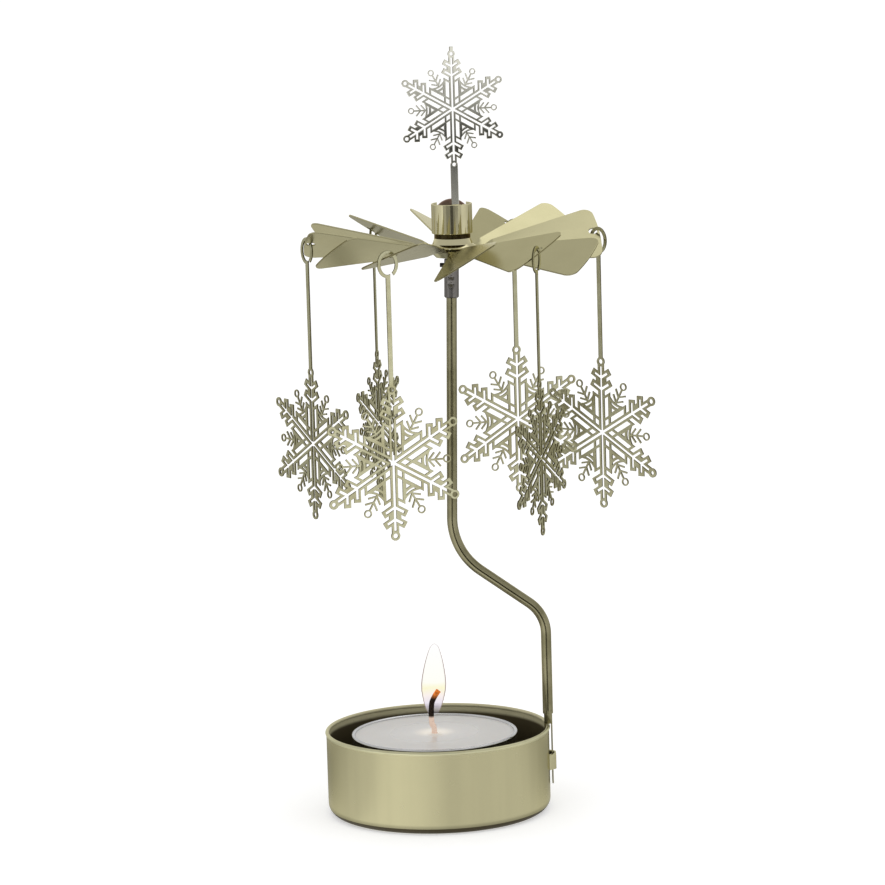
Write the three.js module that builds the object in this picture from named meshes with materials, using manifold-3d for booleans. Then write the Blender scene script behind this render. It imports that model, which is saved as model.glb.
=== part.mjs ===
// Candle carousel: a tealight in a drawn cup drives a twelve-bladed rotor that hangs six
// stamped snowflakes. The rotor turns on a needle at the top of a bent tube, and the tube
// plugs into a loop lanced from the cup's wall.
// Lengths are millimetres and +Z is up. The origin is the centre of the cup's underside,
// +X points at the stem, and angles are written in degrees.
import * as THREE from 'three';
import { mergeVertices } from 'three/addons/utils/BufferGeometryUtils.js';
import Module from 'manifold-3d';

const wasm = await Module();
wasm.setup();

// Fits that several pieces share
const seatGap = 0.25;
const slideGap = 0.3;
const boreGap = 0.15;
const cutOverrun = 1;
const weldTolerance = 0.0002;

// Candle cup
const cupRadius = 25.85;
const cupHeight = 19.45;
const cupWall = 0.4;
const cupCorner = 2.6;
const beadRadius = 0.45;
const beadAngles = [-60, 240];
const loopHeight = 3.6;
const loopBase = 9.1;
const loopWidth = 4.2;
const loopLeg = 1.1;
const loopSheet = 0.4;

// Tealight
const tealightX = -0.72;
const tealightRadius = 19.3;
const tealightHeight = 17.85;
const tealightWall = 0.3;
const tealightRoll = 0.45;
const tealightRollAngles = [-60, 180];
const waxGap = 0.2;
const waxDrop = 1.1;
const waxDish = 0.5;
const waxPoolRadius = 10;
const sustainerRadius = 5.2;
const sustainerSheet = 0.3;
const sustainerNeckRadius = 1.3;
const sustainerNeckHeight = 3.2;
const wickRadius = 0.62;
const wickHeight = 10.4;
const wickLean = 0.65;

// Stem: rolled tube with its seam to the front, and the clip at its foot
const stemRadius = 1.2;
const stemWall = 0.36;
const seamGap = 0.36;
const stemFootRise = 2.6;
const stemLowBend = 45.55;
const stemHighBend = 60.85;
const stemHighX = 4.56;
const stemLowBendRadius = 9;
const stemHighBendRadius = 15;
const clipSheet = 0.32;
const clipWidth = 2.2;
const clipProud = 0.25;
const tabEnd = 5.5;
const tongueLength = 2.1;
const tongueGap = 0.3;
const neckRise = 0.75;

// Needle and the sleeve that is crimped round it and the stem
const rotorX = 6.6;
const needleTip = 141.85;
const needleRadius = 0.6;
const needleTaper = 3;
const needlePoint = 0.12;
const needleShankRadius = 1.1;
const needleShank = 4.3;
const sleeveFoot = 119.75;
const sleeveLength = 8.9;
const sleeveWall = 0.34;
const sleeveChamfer = 0.25;
const stemInSleeve = 4;
const pinRadius = 0.5;
const pinProud = 1;
const pinHeight = 127.25;

// Vane wheel: the height of its hub, and how far each vane is twisted and bent up
const vaneCount = 12;
const hubPlane = 130.8;
const vaneSheet = 0.35;
const twistAngles = [36, 30.5, 30.5, 30.5, 30.5, 30.5, 26, 28.5, 22, 40.5, 27.5, 24];
const riseAngles = [5.4, 7.7, 4.4, 5.1, 4.8, 4.3, 4.9, 4.1, 4.4, 4.6, 3.9, -2.2];
const vaneSlit = 0.3;
const vaneTip = 33.95;
const vaneTipCurve = 45;
const vaneHubRadius = 5.7;
const vaneTwistEnd = 9.6;
const vaneCorner = 2.2;
const firstVane = 4.8;
const hubBowlDepth = 1.5;
const hubBowlRadius = 3.9;
const hubBore = 2.35;
const holeRadius = 1;
const holeMargin = 0.45;
const holeSide = 0.6;

// Collar and bearing dome
const collarRadius = 4.68;
const collarWall = 0.35;
const collarTop = 141.4;
const collarFoot = 134.45;
const collarNeckRadius = 4.15;
const collarFlangeRadius = 5.55;
const collarFlangeRise = 1;
const collarFlareRadius = 4.6;
const collarNeckFoot = 133.5;
const notchWidth = 6.6;
const notchDepth = 2.2;
const domeRadius = 3.2;
const domeWall = 0.35;
const domeCrown = 1.48;

// Snowflakes: their size, their sheet and what carries them
const flakeRadius = 16.5;
const flakeSheet = 0.4;
const pendantStripWidth = 1.1;
const hookWidth = 4.9;
const hookHeight = 6.2;
const hookBand = 0.78;
const hookGap = 0.32;
const hookGapAngle = 34;
const hookDrop = 44.5;
const topperRadius = 12.5;
const topperStripWidth = 1.7;
const topperRise = 21.65;
const topperTurn = 13;
const topperStub = 0.8;
const topperStubWidth = 0.85;
// How far each hook is turned clockwise, seen from above, from its own vane's centre line
const hookTurns = [45, 40, 53, 61, 45, 57];

// Snowflake outline, in shares of the distance from its centre to the middle of an arm's ring
const flakeShares = {
  slot: 0.0175,
  slotEnd: 0.925,
  arm: 0.0525,
  barbHalf: 0.05,
  notch: 0.085,
  notchShift: 0.05,
  frameInner: 0.118,
  frameOuter: 0.152,
  frameSlotEnd: 0.389,
  frameEnd: 0.423,
  frameNotch: 0.555,
  chevron: 0.457,
  dartEnd: 0.42,
  stalk: 0.017,
  ring: 0.07,
  ringHole: 0.035,
  smallRing: 0.06,
  smallRingHole: 0.034,
  smallRingAt: 0.76,
};
const barbShares = [
  { root: 0.775, length: 0.175, foot: 0.088 },
  { root: 0.61, length: 0.195 },
];
const fernShares = { root: 0.6, length: 0.1, foot: 0.045 };
// The corners of half a ring, in shares of the way round from its outermost point to its stalk
const ringShares = [0.38, 1];
const smallRingShares = [0.3, 0.62, 1];
// Where along its metal, from the hole to the vane's edge, a hook's middle rests
const hookRestShare = 0.42;
// The wick above the wax, in shares of its lean and of its height
const wickShares = [[0, 0], [-1, 0.4], [-0.7, 0.75], [1.6, 1]];

const turn = 2 * Math.PI;
const quarterAngle = 90;
const sixth = Math.PI / 3;
const toRadians = THREE.MathUtils.degToRad;
const toDegrees = THREE.MathUtils.radToDeg;

const brass = new THREE.MeshStandardMaterial({ color: 0xb8b184, metalness: 1, roughness: 0.22 });
const mirrorBrass = new THREE.MeshStandardMaterial({ color: 0xc9c391, metalness: 1, roughness: 0.08 });
const steel = new THREE.MeshStandardMaterial({ color: 0x85827f, metalness: 1, roughness: 0.35 });
const aluminium = new THREE.MeshStandardMaterial({ color: 0xc9c9c8, metalness: 1, roughness: 0.3 });
const waxWhite = new THREE.MeshStandardMaterial({ color: 0xcfcfcc, metalness: 0, roughness: 0.45 });
const wickBlack = new THREE.MeshStandardMaterial({ color: 0x1c1713, metalness: 0, roughness: 0.95 });

// A closed geometry as a solid. Triangles that a pole has flattened are left out, and a
// surface that faces inwards is turned over.
function solidOf(geometry) {
  const bare = geometry.clone();
  bare.deleteAttribute('normal');
  bare.deleteAttribute('uv');
  const { attributes, index } = mergeVertices(bare, weldTolerance);
  const corners = Array.from({ length: 3 }, () => new THREE.Vector3());
  const triangles = [];
  let volume = 0;
  for (let i = 0; i < index.count; i += 3) {
    const triangle = [index.getX(i), index.getX(i + 1), index.getX(i + 2)];
    if (new Set(triangle).size < 3) continue;
    triangles.push(triangle);
    const [a, b, c] = corners.map((corner, k) => corner.fromBufferAttribute(attributes.position, triangle[k]));
    volume += a.dot(b.cross(c));
  }
  const triVerts = new Uint32Array(triangles.flatMap(([p, q, r]) => (volume < 0 ? [p, r, q] : [p, q, r])));
  const vertProperties = new Float32Array(attributes.position.array);
  return new wasm.Manifold(new wasm.Mesh({ numProp: 3, vertProperties, triVerts }));
}

function geometryOf(solid) {
  const { vertProperties, triVerts } = solid.getMesh();
  const geometry = new THREE.BufferGeometry();
  geometry.setAttribute('position', new THREE.BufferAttribute(vertProperties, 3));
  geometry.setIndex(new THREE.BufferAttribute(triVerts, 1));
  geometry.computeVertexNormals();
  return geometry;
}

function piece(name, solid, material) {
  const mesh = new THREE.Mesh(geometryOf(solid), material);
  mesh.name = name;
  return mesh;
}

// A profile of [radius, height] pairs turned about the Z axis. A profile that stays clear
// of the axis is closed on itself.
function turned(profile, segments) {
  const points = profile.map(([radius, height]) => new THREE.Vector2(radius, height));
  if (profile[0][0] > 0) points.push(points[0].clone());
  return solidOf(new THREE.LatheGeometry(points, segments).rotateX(Math.PI / 2));
}

// Points on an arc of a profile, from one angle to another
function arc(centre, height, radius, from, to, steps) {
  return Array.from({ length: steps + 1 }, (_, i) => {
    const angle = toRadians(from + ((to - from) * i) / steps);
    return [centre + radius * Math.cos(angle), height + radius * Math.sin(angle)];
  });
}

function block(low, high) {
  const size = high.map((value, axis) => value - low[axis]);
  const middle = high.map((value, axis) => (value + low[axis]) / 2);
  return solidOf(new THREE.BoxGeometry(...size).translate(...middle));
}

// A bore or a pin along the X axis, from one x to another
function crosswise(radius, from, to, height) {
  const geometry = new THREE.CylinderGeometry(radius, radius, to - from, 10);
  return solidOf(geometry.rotateZ(Math.PI / 2).translate((from + to) / 2, 0, height));
}

// Candle cup: one drawn shell with a beaded rim and a loop lanced out of its wall
const cupInside = cupRadius - cupWall;
const beadCentre = cupRadius - cupWall / 2;
const tabInside = beadCentre + beadRadius + seatGap;
const tabOutside = tabInside + clipSheet;
const loopInside = tabOutside + slideGap;

function candleCup() {
  const shell = turned([
    [0, 0],
    ...arc(cupRadius - cupCorner, cupCorner, cupCorner, -quarterAngle, 0, 4),
    ...arc(beadCentre, cupHeight - beadRadius, beadRadius, ...beadAngles, 5),
    ...arc(cupRadius - cupCorner, cupCorner, cupCorner - cupWall, 0, -quarterAngle, 3),
    [0, cupWall],
  ], 36);
  const window = block(
    [cupInside - cutOverrun, -loopWidth / 2, loopBase],
    [cupRadius + cutOverrun, loopWidth / 2, loopBase + loopHeight],
  );
  const root = cupRadius - cupWall / 2;
  const half = loopWidth / 2;
  const strap = new THREE.Shape([
    [root, -half - loopLeg],
    [loopInside + loopSheet, -half + loopLeg / 2],
    [loopInside + loopSheet, half - loopLeg / 2],
    [root, half + loopLeg],
    [root, half],
    [loopInside, half - loopLeg],
    [loopInside, loopLeg - half],
    [root, -half],
  ].map(([x, y]) => new THREE.Vector2(x, y)));
  const loop = new THREE.ExtrudeGeometry(strap, { depth: loopHeight, bevelEnabled: false });
  return shell.subtract(window).add(solidOf(loop.translate(0, 0, loopBase)));
}

// Tealight: a pressed cup, its wax, the wick and the small foot that holds the wick
const tealightFloor = cupWall + seatGap;
const tealightInside = tealightRadius - tealightRoll - tealightWall / 2;
const waxFloor = tealightWall + waxGap;
const waxSurface = tealightHeight - waxDrop - waxDish;
const wickBore = wickRadius + waxGap;

function tealightShell() {
  const rollCentre = tealightRadius - tealightRoll;
  const roll = arc(rollCentre, tealightHeight - tealightRoll, tealightRoll, ...tealightRollAngles, 5);
  return turned([
    [0, 0],
    [tealightInside + tealightWall, 0],
    ...roll.slice(0, -1),
    [tealightInside, tealightHeight - tealightRoll],
    [tealightInside, tealightWall],
    [0, tealightWall],
  ], 28);
}

// The wax fills the shell round the wick and its foot, and dips to a pool at the wick
function waxFill() {
  const recess = sustainerRadius + waxGap;
  const recessTop = waxFloor + sustainerSheet + waxGap;
  const neckBore = sustainerNeckRadius + waxGap;
  const neckTop = waxFloor + sustainerNeckHeight + waxGap;
  return turned([
    [recess, waxFloor],
    [tealightInside - waxGap, waxFloor],
    [tealightInside - waxGap, waxSurface + waxDish],
    [waxPoolRadius, waxSurface],
    [wickBore, waxSurface],
    [wickBore, neckTop],
    [neckBore, neckTop],
    [neckBore, recessTop],
    [recess, recessTop],
  ], 20);
}

function wickFoot() {
  return turned([
    [wickBore, waxFloor],
    [sustainerRadius, waxFloor],
    [sustainerRadius, waxFloor + sustainerSheet],
    [sustainerNeckRadius, waxFloor + sustainerSheet],
    [sustainerNeckRadius, waxFloor + sustainerNeckHeight],
    [wickBore, waxFloor + sustainerNeckHeight],
  ], 14);
}

// The wick stands straight in the wax, leans back and curls over at its tip
function wick() {
  const path = new THREE.CatmullRomCurve3([
    new THREE.Vector3(0, 0, waxFloor),
    ...wickShares.map(([lean, rise]) => new THREE.Vector3(lean * wickLean, 0, waxSurface + rise * wickHeight)),
  ]);
  const section = new THREE.Shape().absarc(0, 0, wickRadius, 0, turn);
  return solidOf(new THREE.ExtrudeGeometry(section, { steps: 9, curveSegments: 4, extrudePath: path }));
}

// The stem's centre line: up from the clip, out along the slope, and up to the needle's tip
const stemFoot = cupHeight + stemFootRise;
const stemFootX = tabOutside + clipProud - stemRadius;
const stemTip = new THREE.Vector3(rotorX, 0, needleTip);
const stemHighCorner = new THREE.Vector3(stemHighX, 0, stemHighBend);
const stemLowCorner = new THREE.Vector3(stemFootX, 0, stemLowBend);
const upperRun = stemTip.clone().sub(stemHighCorner).normalize();
const upperLean = Math.atan2(upperRun.x, upperRun.z);

function alongUpperRun(height) {
  return stemTip.clone().addScaledVector(upperRun, (height - stemTip.z) / upperRun.z);
}

// The rings of a round bend between two straight runs that meet at a corner
function bend(corner, from, to, radius, steps) {
  const into = corner.clone().sub(from).normalize();
  const out = to.clone().sub(corner).normalize();
  const angle = into.angleTo(out);
  const axle = into.clone().cross(out).normalize();
  const centre = out.clone().sub(into).normalize().multiplyScalar(radius / Math.cos(angle / 2)).add(corner);
  return Array.from({ length: steps + 1 }, (_, i) => {
    const tangent = into.clone().applyAxisAngle(axle, (angle * i) / steps);
    const spoke = tangent.clone().cross(axle).multiplyScalar(radius);
    return { at: spoke.add(centre), tangent };
  });
}

// A path whose rings are set one by one, so that a straight run needs none between its ends
class RingPath extends THREE.Curve {
  constructor(rings) {
    super();
    this.rings = rings;
  }

  ringAt(share) {
    return this.rings[Math.round(share * (this.rings.length - 1))];
  }

  getPointAt(share, target = new THREE.Vector3()) {
    return target.copy(this.ringAt(share).at);
  }

  getTangentAt(share, target = new THREE.Vector3()) {
    return target.copy(this.ringAt(share).tangent);
  }
}

function stem() {
  const foot = new THREE.Vector3(stemFootX, 0, stemFoot);
  const top = alongUpperRun(sleeveFoot + stemInSleeve);
  const rings = [
    { at: foot, tangent: new THREE.Vector3(0, 0, 1) },
    ...bend(stemLowCorner, foot, stemHighCorner, stemLowBendRadius, 4),
    ...bend(stemHighCorner, stemLowCorner, top, stemHighBendRadius, 4),
    { at: top, tangent: upperRun },
  ];
  const seam = Math.asin(seamGap / 2 / stemRadius);
  const section = new THREE.Shape();
  section.absarc(0, 0, stemRadius, seam, turn - seam);
  section.absarc(0, 0, stemRadius - stemWall, turn - seam, seam, true);
  const extrudePath = new RingPath(rings);
  const tube = new THREE.ExtrudeGeometry(section, { steps: rings.length - 1, curveSegments: 5, extrudePath });
  return solidOf(tube).add(stemClip());
}

// The clip: the tube's foot pressed flat, with a long tab outside the cup's wall and a
// short tongue inside it
function stemClip() {
  const seat = cupHeight + seatGap;
  const tongueOutside = cupInside - tongueGap;
  const tongueInside = tongueOutside - clipSheet;
  const tongueEnd = cupHeight - tongueLength;
  const neckLeft = stemFootX - stemRadius + clipProud;
  const outline = new THREE.Shape([
    [tongueInside, tongueEnd],
    [tongueOutside, tongueEnd],
    [tongueOutside, seat],
    [tabInside, seat],
    [tabInside, tabEnd],
    [tabOutside, tabEnd],
    [tabOutside, stemFoot + neckRise],
    [neckLeft, stemFoot + neckRise],
    [tongueInside, seat + clipSheet],
  ].map(([x, z]) => new THREE.Vector2(x, z)));
  const clip = new THREE.ExtrudeGeometry(outline, { depth: clipWidth, bevelEnabled: false });
  return solidOf(clip.rotateX(Math.PI / 2).translate(0, clipWidth / 2, 0));
}

// What stands on the upper run is made upright, from the sleeve's foot, and leaned with it
const sleeveBore = stemRadius + boreGap;
const sleeveRadius = sleeveBore + sleeveWall;
const pinRise = pinHeight - sleeveFoot;

function onUpperRun(...meshes) {
  const group = new THREE.Group();
  group.position.copy(alongUpperRun(sleeveFoot));
  group.rotation.y = upperLean;
  group.add(...meshes);
  return group;
}

function needleSleeve() {
  const tube = turned([
    [sleeveBore, 0],
    [sleeveRadius - sleeveChamfer, 0],
    [sleeveRadius, sleeveChamfer],
    [sleeveRadius, sleeveLength],
    [sleeveBore, sleeveLength],
  ], 14);
  return tube.subtract(crosswise(pinRadius + boreGap, -sleeveRadius - cutOverrun, 0, pinRise));
}

// The needle's shank fills the sleeve above the stem, and a hole in it takes the cross pin
function pivotNeedle() {
  const shankFoot = stemInSleeve + seatGap;
  const tip = (needleTip - sleeveFoot) / upperRun.z;
  const needle = turned([
    [0, shankFoot],
    [needleShankRadius, shankFoot],
    [needleShankRadius, shankFoot + needleShank],
    [needleRadius, shankFoot + needleShank],
    [needleRadius, tip - needleTaper],
    [needlePoint, tip],
    [0, tip],
  ], 10);
  return needle.subtract(crosswise(pinRadius + boreGap, -needleShankRadius - cutOverrun, 0, pinRise));
}

function crossPin() {
  return crosswise(pinRadius, -sleeveRadius - pinProud, -boreGap, pinRise);
}

// Vane wheel: one stamped sheet. The vanes are the sectors between radial slits, each
// twisted at its narrow root, and every second one has a hole for an ornament.
const holeAt = vaneTip - holeMargin - holeRadius;

// Half a vane's flat outline, as rows of [radius, half width]: out along the slit, round
// the corner and in along the curved end
function vaneRows() {
  const sector = Math.PI / vaneCount;
  const slope = Math.tan(sector);
  const endCentre = vaneTip - vaneTipCurve;
  const inset = vaneSlit / 2 + vaneCorner / Math.cos(sector);
  const middle = endCentre + slope * inset;
  const spread = 1 + slope ** 2;
  const short = endCentre ** 2 + inset ** 2 - (vaneTipCurve - vaneCorner) ** 2;
  const cornerRadius = (middle + Math.sqrt(middle ** 2 - spread * short)) / spread;
  const cornerHalf = cornerRadius * slope - inset;
  const endAngle = toDegrees(Math.atan2(cornerHalf, cornerRadius - endCentre));
  const root = vaneHubRadius - vaneSheet;
  const twisted = [root, (root + vaneTwistEnd) / 2, vaneTwistEnd];
  return [
    ...twisted.map((radius) => [radius, radius * slope - vaneSlit / 2]),
    ...arc(cornerRadius, cornerHalf, vaneCorner, quarterAngle + toDegrees(sector), endAngle, 2),
    ...arc(endCentre, 0, vaneTipCurve, endAngle, 0, 3).slice(1, -1),
  ];
}

// How far a vane is twisted and how far it is bent up
function vaneBend(i) {
  return [twistAngles[i % twistAngles.length], riseAngles[i % riseAngles.length]];
}

// A vane along the X axis
function vane([pitch, rise], withHole) {
  const rows = vaneRows();
  const geometry = new THREE.BoxGeometry(1, 1, vaneSheet, rows.length - 1, 1, 1);
  const position = geometry.attributes.position;
  const point = new THREE.Vector3();
  for (let i = 0; i < position.count; i += 1) {
    point.fromBufferAttribute(position, i);
    const [radius, half] = rows[Math.round((point.x + 0.5) * (rows.length - 1))];
    const share = THREE.MathUtils.smoothstep(radius, vaneHubRadius, vaneTwistEnd);
    point.set(radius, point.y * 2 * half, point.z).applyMatrix4(bentBy(pitch * share, rise * share));
    position.setXYZ(i, point.x, point.y, point.z);
  }
  const sheet = solidOf(geometry);
  if (!withHole) return sheet;
  const drill = new THREE.CylinderGeometry(holeRadius, holeRadius, vaneSheet + 2 * cutOverrun, 10);
  drill.rotateX(Math.PI / 2).translate(holeAt, holeSide, 0).applyMatrix4(bentBy(pitch, rise));
  return sheet.subtract(solidOf(drill));
}

// The turn of a vane's outer part, from flat: twisted about X and bent up at the hub's edge
function bentBy(pitch, rise) {
  return new THREE.Matrix4().makeTranslation(vaneHubRadius, 0, 0)
    .multiply(new THREE.Matrix4().makeRotationY(-toRadians(rise)))
    .multiply(new THREE.Matrix4().makeRotationX(toRadians(pitch)))
    .multiply(new THREE.Matrix4().makeTranslation(-vaneHubRadius, 0, 0));
}

function vaneWheel() {
  const top = vaneSheet / 2;
  let wheel = turned([
    [hubBore, top - hubBowlDepth],
    [hubBowlRadius - vaneSheet, top - hubBowlDepth],
    [vaneHubRadius - 2 * vaneSheet, top],
    [vaneHubRadius, top],
    [vaneHubRadius, -top],
    [vaneHubRadius - vaneSheet, -top],
    [hubBowlRadius, -top - hubBowlDepth],
    [hubBore, -top - hubBowlDepth],
  ], 24);
  for (let i = 0; i < vaneCount; i += 1) {
    wheel = wheel.add(vane(vaneBend(i), i % 2 === 0).rotate([0, 0, (360 * i) / vaneCount]));
  }
  return wheel;
}

// Collar: a drawn tube on a spread foot that rests on the vane wheel, notched at the back
const wheelTop = hubPlane + vaneSheet / 2;

function hubCollar() {
  const seat = wheelTop + seatGap;
  const neckInside = collarNeckRadius - collarWall;
  const wall = turned([
    [collarFlangeRadius, seat],
    [collarFlangeRadius, seat + collarWall],
    [collarFlareRadius, seat + collarFlangeRise],
    [collarNeckRadius, collarNeckFoot],
    [collarNeckRadius, collarFoot],
    [collarRadius, collarFoot + collarWall / 2],
    [collarRadius, collarTop],
    [collarRadius - collarWall, collarTop],
    [collarRadius - collarWall, collarFoot + collarWall],
    [neckInside, collarFoot + collarWall / 2],
    [neckInside, seat],
  ], 20);
  return wall.subtract(block(
    [-notchWidth / 2, 0, collarTop - notchDepth],
    [notchWidth / 2, collarRadius + cutOverrun, collarTop + cutOverrun],
  ));
}

// Bearing dome: a bell whose skirt stands in the vane wheel's bowl and whose crown sits
// over the needle's tip
function bearingDome() {
  const seat = wheelTop - hubBowlDepth + seatGap;
  const crownTop = needleTip + seatGap + domeWall;
  const crown = (radius, top) => {
    const curve = (radius ** 2 + domeCrown ** 2) / (2 * domeCrown);
    const reach = toDegrees(Math.asin(radius / curve));
    return arc(0, top - curve, curve, quarterAngle - reach, quarterAngle, 3).slice(0, -1).concat([[0, top]]);
  };
  const inner = crown(domeRadius - domeWall, crownTop - domeWall).reverse();
  return turned([
    ...inner,
    [domeRadius - domeWall, seat],
    [domeRadius, seat],
    ...crown(domeRadius, crownTop),
  ], 16);
}

// Snowflakes
// A point of a flake is named by its place along and across one arm, or by its distances
// from the two arms on either side of it. Each function takes the arm's angle.
function inArm(along, across, angle) {
  return new THREE.Vector2(along, across).rotateAround(new THREE.Vector2(), angle);
}

function between(fromArm, fromNext, angle) {
  return inArm(fromArm + fromNext, (fromArm - fromNext) / Math.sqrt(3), angle + sixth / 2);
}

// Barbs leave an arm at sixty degrees. side is +1 on a barb's outer side and -1 on its inner.
function barbTip({ root, length }, side) {
  const { barbHalf } = flakeShares;
  return inArm(
    root + length * Math.cos(sixth) + side * barbHalf * Math.sin(sixth),
    length * Math.sin(sixth) - side * barbHalf * Math.cos(sixth),
    0,
  );
}

// Half a ring, from its flat end round to the stalk that carries it
function halfRing(at, radius, stalk, shares) {
  const join = Math.PI - Math.asin(stalk / radius);
  return shares.map((share) => inArm(radius, 0, share * join).add(new THREE.Vector2(at, 0)));
}

// The outline from the end of one arm to the small ring halfway to the next
function halfOutline() {
  const s = flakeShares;
  const [outer, inner] = barbShares;
  const { root, length, foot } = fernShares;
  const onFern = (along, across) => inArm(along, -across, sixth / 2);
  const smallRing = halfRing(s.smallRingAt, s.smallRing, s.stalk, smallRingShares);
  return [
    ...halfRing(1, s.ring, s.arm, ringShares),
    inArm(outer.root + outer.foot, s.arm, 0),
    barbTip(outer, 1),
    barbTip(outer, -1),
    inArm((outer.root + inner.root) / 2 + s.notchShift, s.notch, 0),
    barbTip(inner, 1),
    barbTip(inner, -1),
    inArm(s.frameNotch, s.arm, 0),
    between(s.frameOuter, s.frameEnd, 0),
    onFern(s.chevron, s.stalk),
    onFern(root - foot, s.stalk),
    onFern(root + length * Math.cos(sixth), length * Math.sin(sixth)),
    onFern(root, s.stalk),
    ...smallRing.reverse().map(({ x, y }) => onFern(x, y)),
  ];
}

function mirrored(points) {
  return points.map((point) => new THREE.Vector2(point.x, -point.y)).reverse();
}

function turnedBy(points, angle) {
  return points.map((point) => point.clone().rotateAround(new THREE.Vector2(), angle));
}

function roundHole(along, radius, sides, angle) {
  const centre = inArm(along, 0, angle);
  return Array.from({ length: sides }, (_, i) => inArm(radius, 0, angle + (turn * i) / sides).add(centre));
}

// The holes of one sixth, and the points that it adds to the open star in the middle
function sixthHoles(angle) {
  const s = flakeShares;
  const lattice = (corners) => corners.map(([near, far]) => between(near, far, angle));
  const slot = [
    [s.arm, s.frameOuter],
    [s.frameInner, s.frameOuter],
    [s.frameInner, s.frameSlotEnd],
    [s.arm, s.frameSlotEnd],
  ];
  return [
    lattice([[s.arm, s.arm], [s.frameInner, s.arm], [s.frameInner, s.frameInner], [s.arm, s.frameInner]]),
    lattice(slot),
    lattice(slot.map(([near, far]) => [far, near])),
    lattice([
      [s.frameOuter, s.frameOuter],
      [s.frameOuter, s.dartEnd - s.frameOuter],
      [s.dartEnd - s.frameOuter, s.frameOuter],
    ]),
    roundHole(1, s.ringHole, 5, angle),
    roundHole(s.smallRingAt, s.smallRingHole, 4, angle + sixth / 2),
  ];
}

function starPoints(angle) {
  const { slot, slotEnd } = flakeShares;
  return [inArm(slotEnd, -slot, angle), inArm(slotEnd, slot, angle), between(slot, slot, angle)];
}

// The solid between two levels on either side of the XY plane, inside an outline
function prism(points, depth) {
  const geometry = new THREE.ExtrudeGeometry(new THREE.Shape(points), { depth, bevelEnabled: false });
  return solidOf(geometry.translate(0, 0, -depth / 2));
}

// A flake as a flat sheet in the XY plane, centred on the origin. stand and foot are drawn
// at full size on the rings of the arms that point up and down.
function flake(radius, stand, foot) {
  const half = halfOutline();
  const outline = [];
  const star = [];
  const holes = [];
  for (let i = 0; i < 6; i += 1) {
    const angle = i * sixth + Math.PI / 2;
    const grown = (points) => points.map((point) => point.clone().multiplyScalar(radius));
    const end = { 0: stand, 3: foot }[i] ?? [];
    outline.push(...grown(turnedBy(mirrored(half), angle)), ...end, ...grown(turnedBy(half, angle)));
    star.push(...grown(starPoints(angle)));
    holes.push(...sixthHoles(angle).map(grown));
  }
  const cuts = [star, ...holes].map((points) => prism(points, flakeSheet + 2 * cutOverrun));
  return prism(outline, flakeSheet).subtract(wasm.Manifold.union(cuts));
}

// How far from a flake's centre a strip of some half width meets the edge of a ring
function ringEdge(radius, half) {
  return radius + Math.sqrt(Math.max((flakeShares.ring * radius) ** 2 - half ** 2, 0));
}

// The strip and the open oval hook above a pendant's top ring
const hookOuter = new THREE.Vector2(hookWidth / 2, hookHeight / 2);
const hookInner = hookOuter.clone().subScalar(hookBand);

function hookOutline() {
  const half = pendantStripWidth / 2;
  const sweep = (oval, from, to, clockwise) => (
    new THREE.EllipseCurve(0, hookDrop, oval.x, oval.y, from, to, clockwise).getPoints(9)
  );
  const open = toRadians(hookGapAngle - 90);
  const enter = -Math.acos(half / hookInner.x);
  const leave = Math.acos(half / hookOuter.x) - Math.PI;
  return [
    new THREE.Vector2(half, ringEdge(flakeRadius, half)),
    ...sweep(hookInner, enter, open, true),
    ...sweep(hookOuter, open, leave, false),
    new THREE.Vector2(-half, ringEdge(flakeRadius, half)),
  ];
}

// A plain strip on a ring, from the ring's edge to some distance from the flake's centre
function stripOutline(width, end) {
  const half = width / 2;
  const start = Math.sign(end) * ringEdge(topperRadius, half);
  const corners = [[half, start], [half, end], [-half, end], [-half, start]];
  return (end > 0 ? corners : corners.reverse()).map(([x, y]) => new THREE.Vector2(x, y));
}

function pendant() {
  return flake(flakeRadius, hookOutline()).translate([0, -hookDrop, 0]);
}

const topperHeight = collarTop + topperRise;

function topper() {
  const stubEnd = topperRadius * (1 + flakeShares.ring) + topperStub;
  const foot = collarFoot + collarWall + slideGap - topperHeight;
  const stub = stripOutline(topperStubWidth, stubEnd);
  return flake(topperRadius, stub, stripOutline(topperStripWidth, foot));
}

// A flat sheet stood on edge: its X axis turned to an angle about +Z, its Y axis up
function stood(mesh, place, angle) {
  mesh.rotation.x = Math.PI / 2;
  const upright = new THREE.Group();
  upright.add(mesh);
  upright.position.copy(place);
  upright.rotation.z = angle;
  return upright;
}

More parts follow.
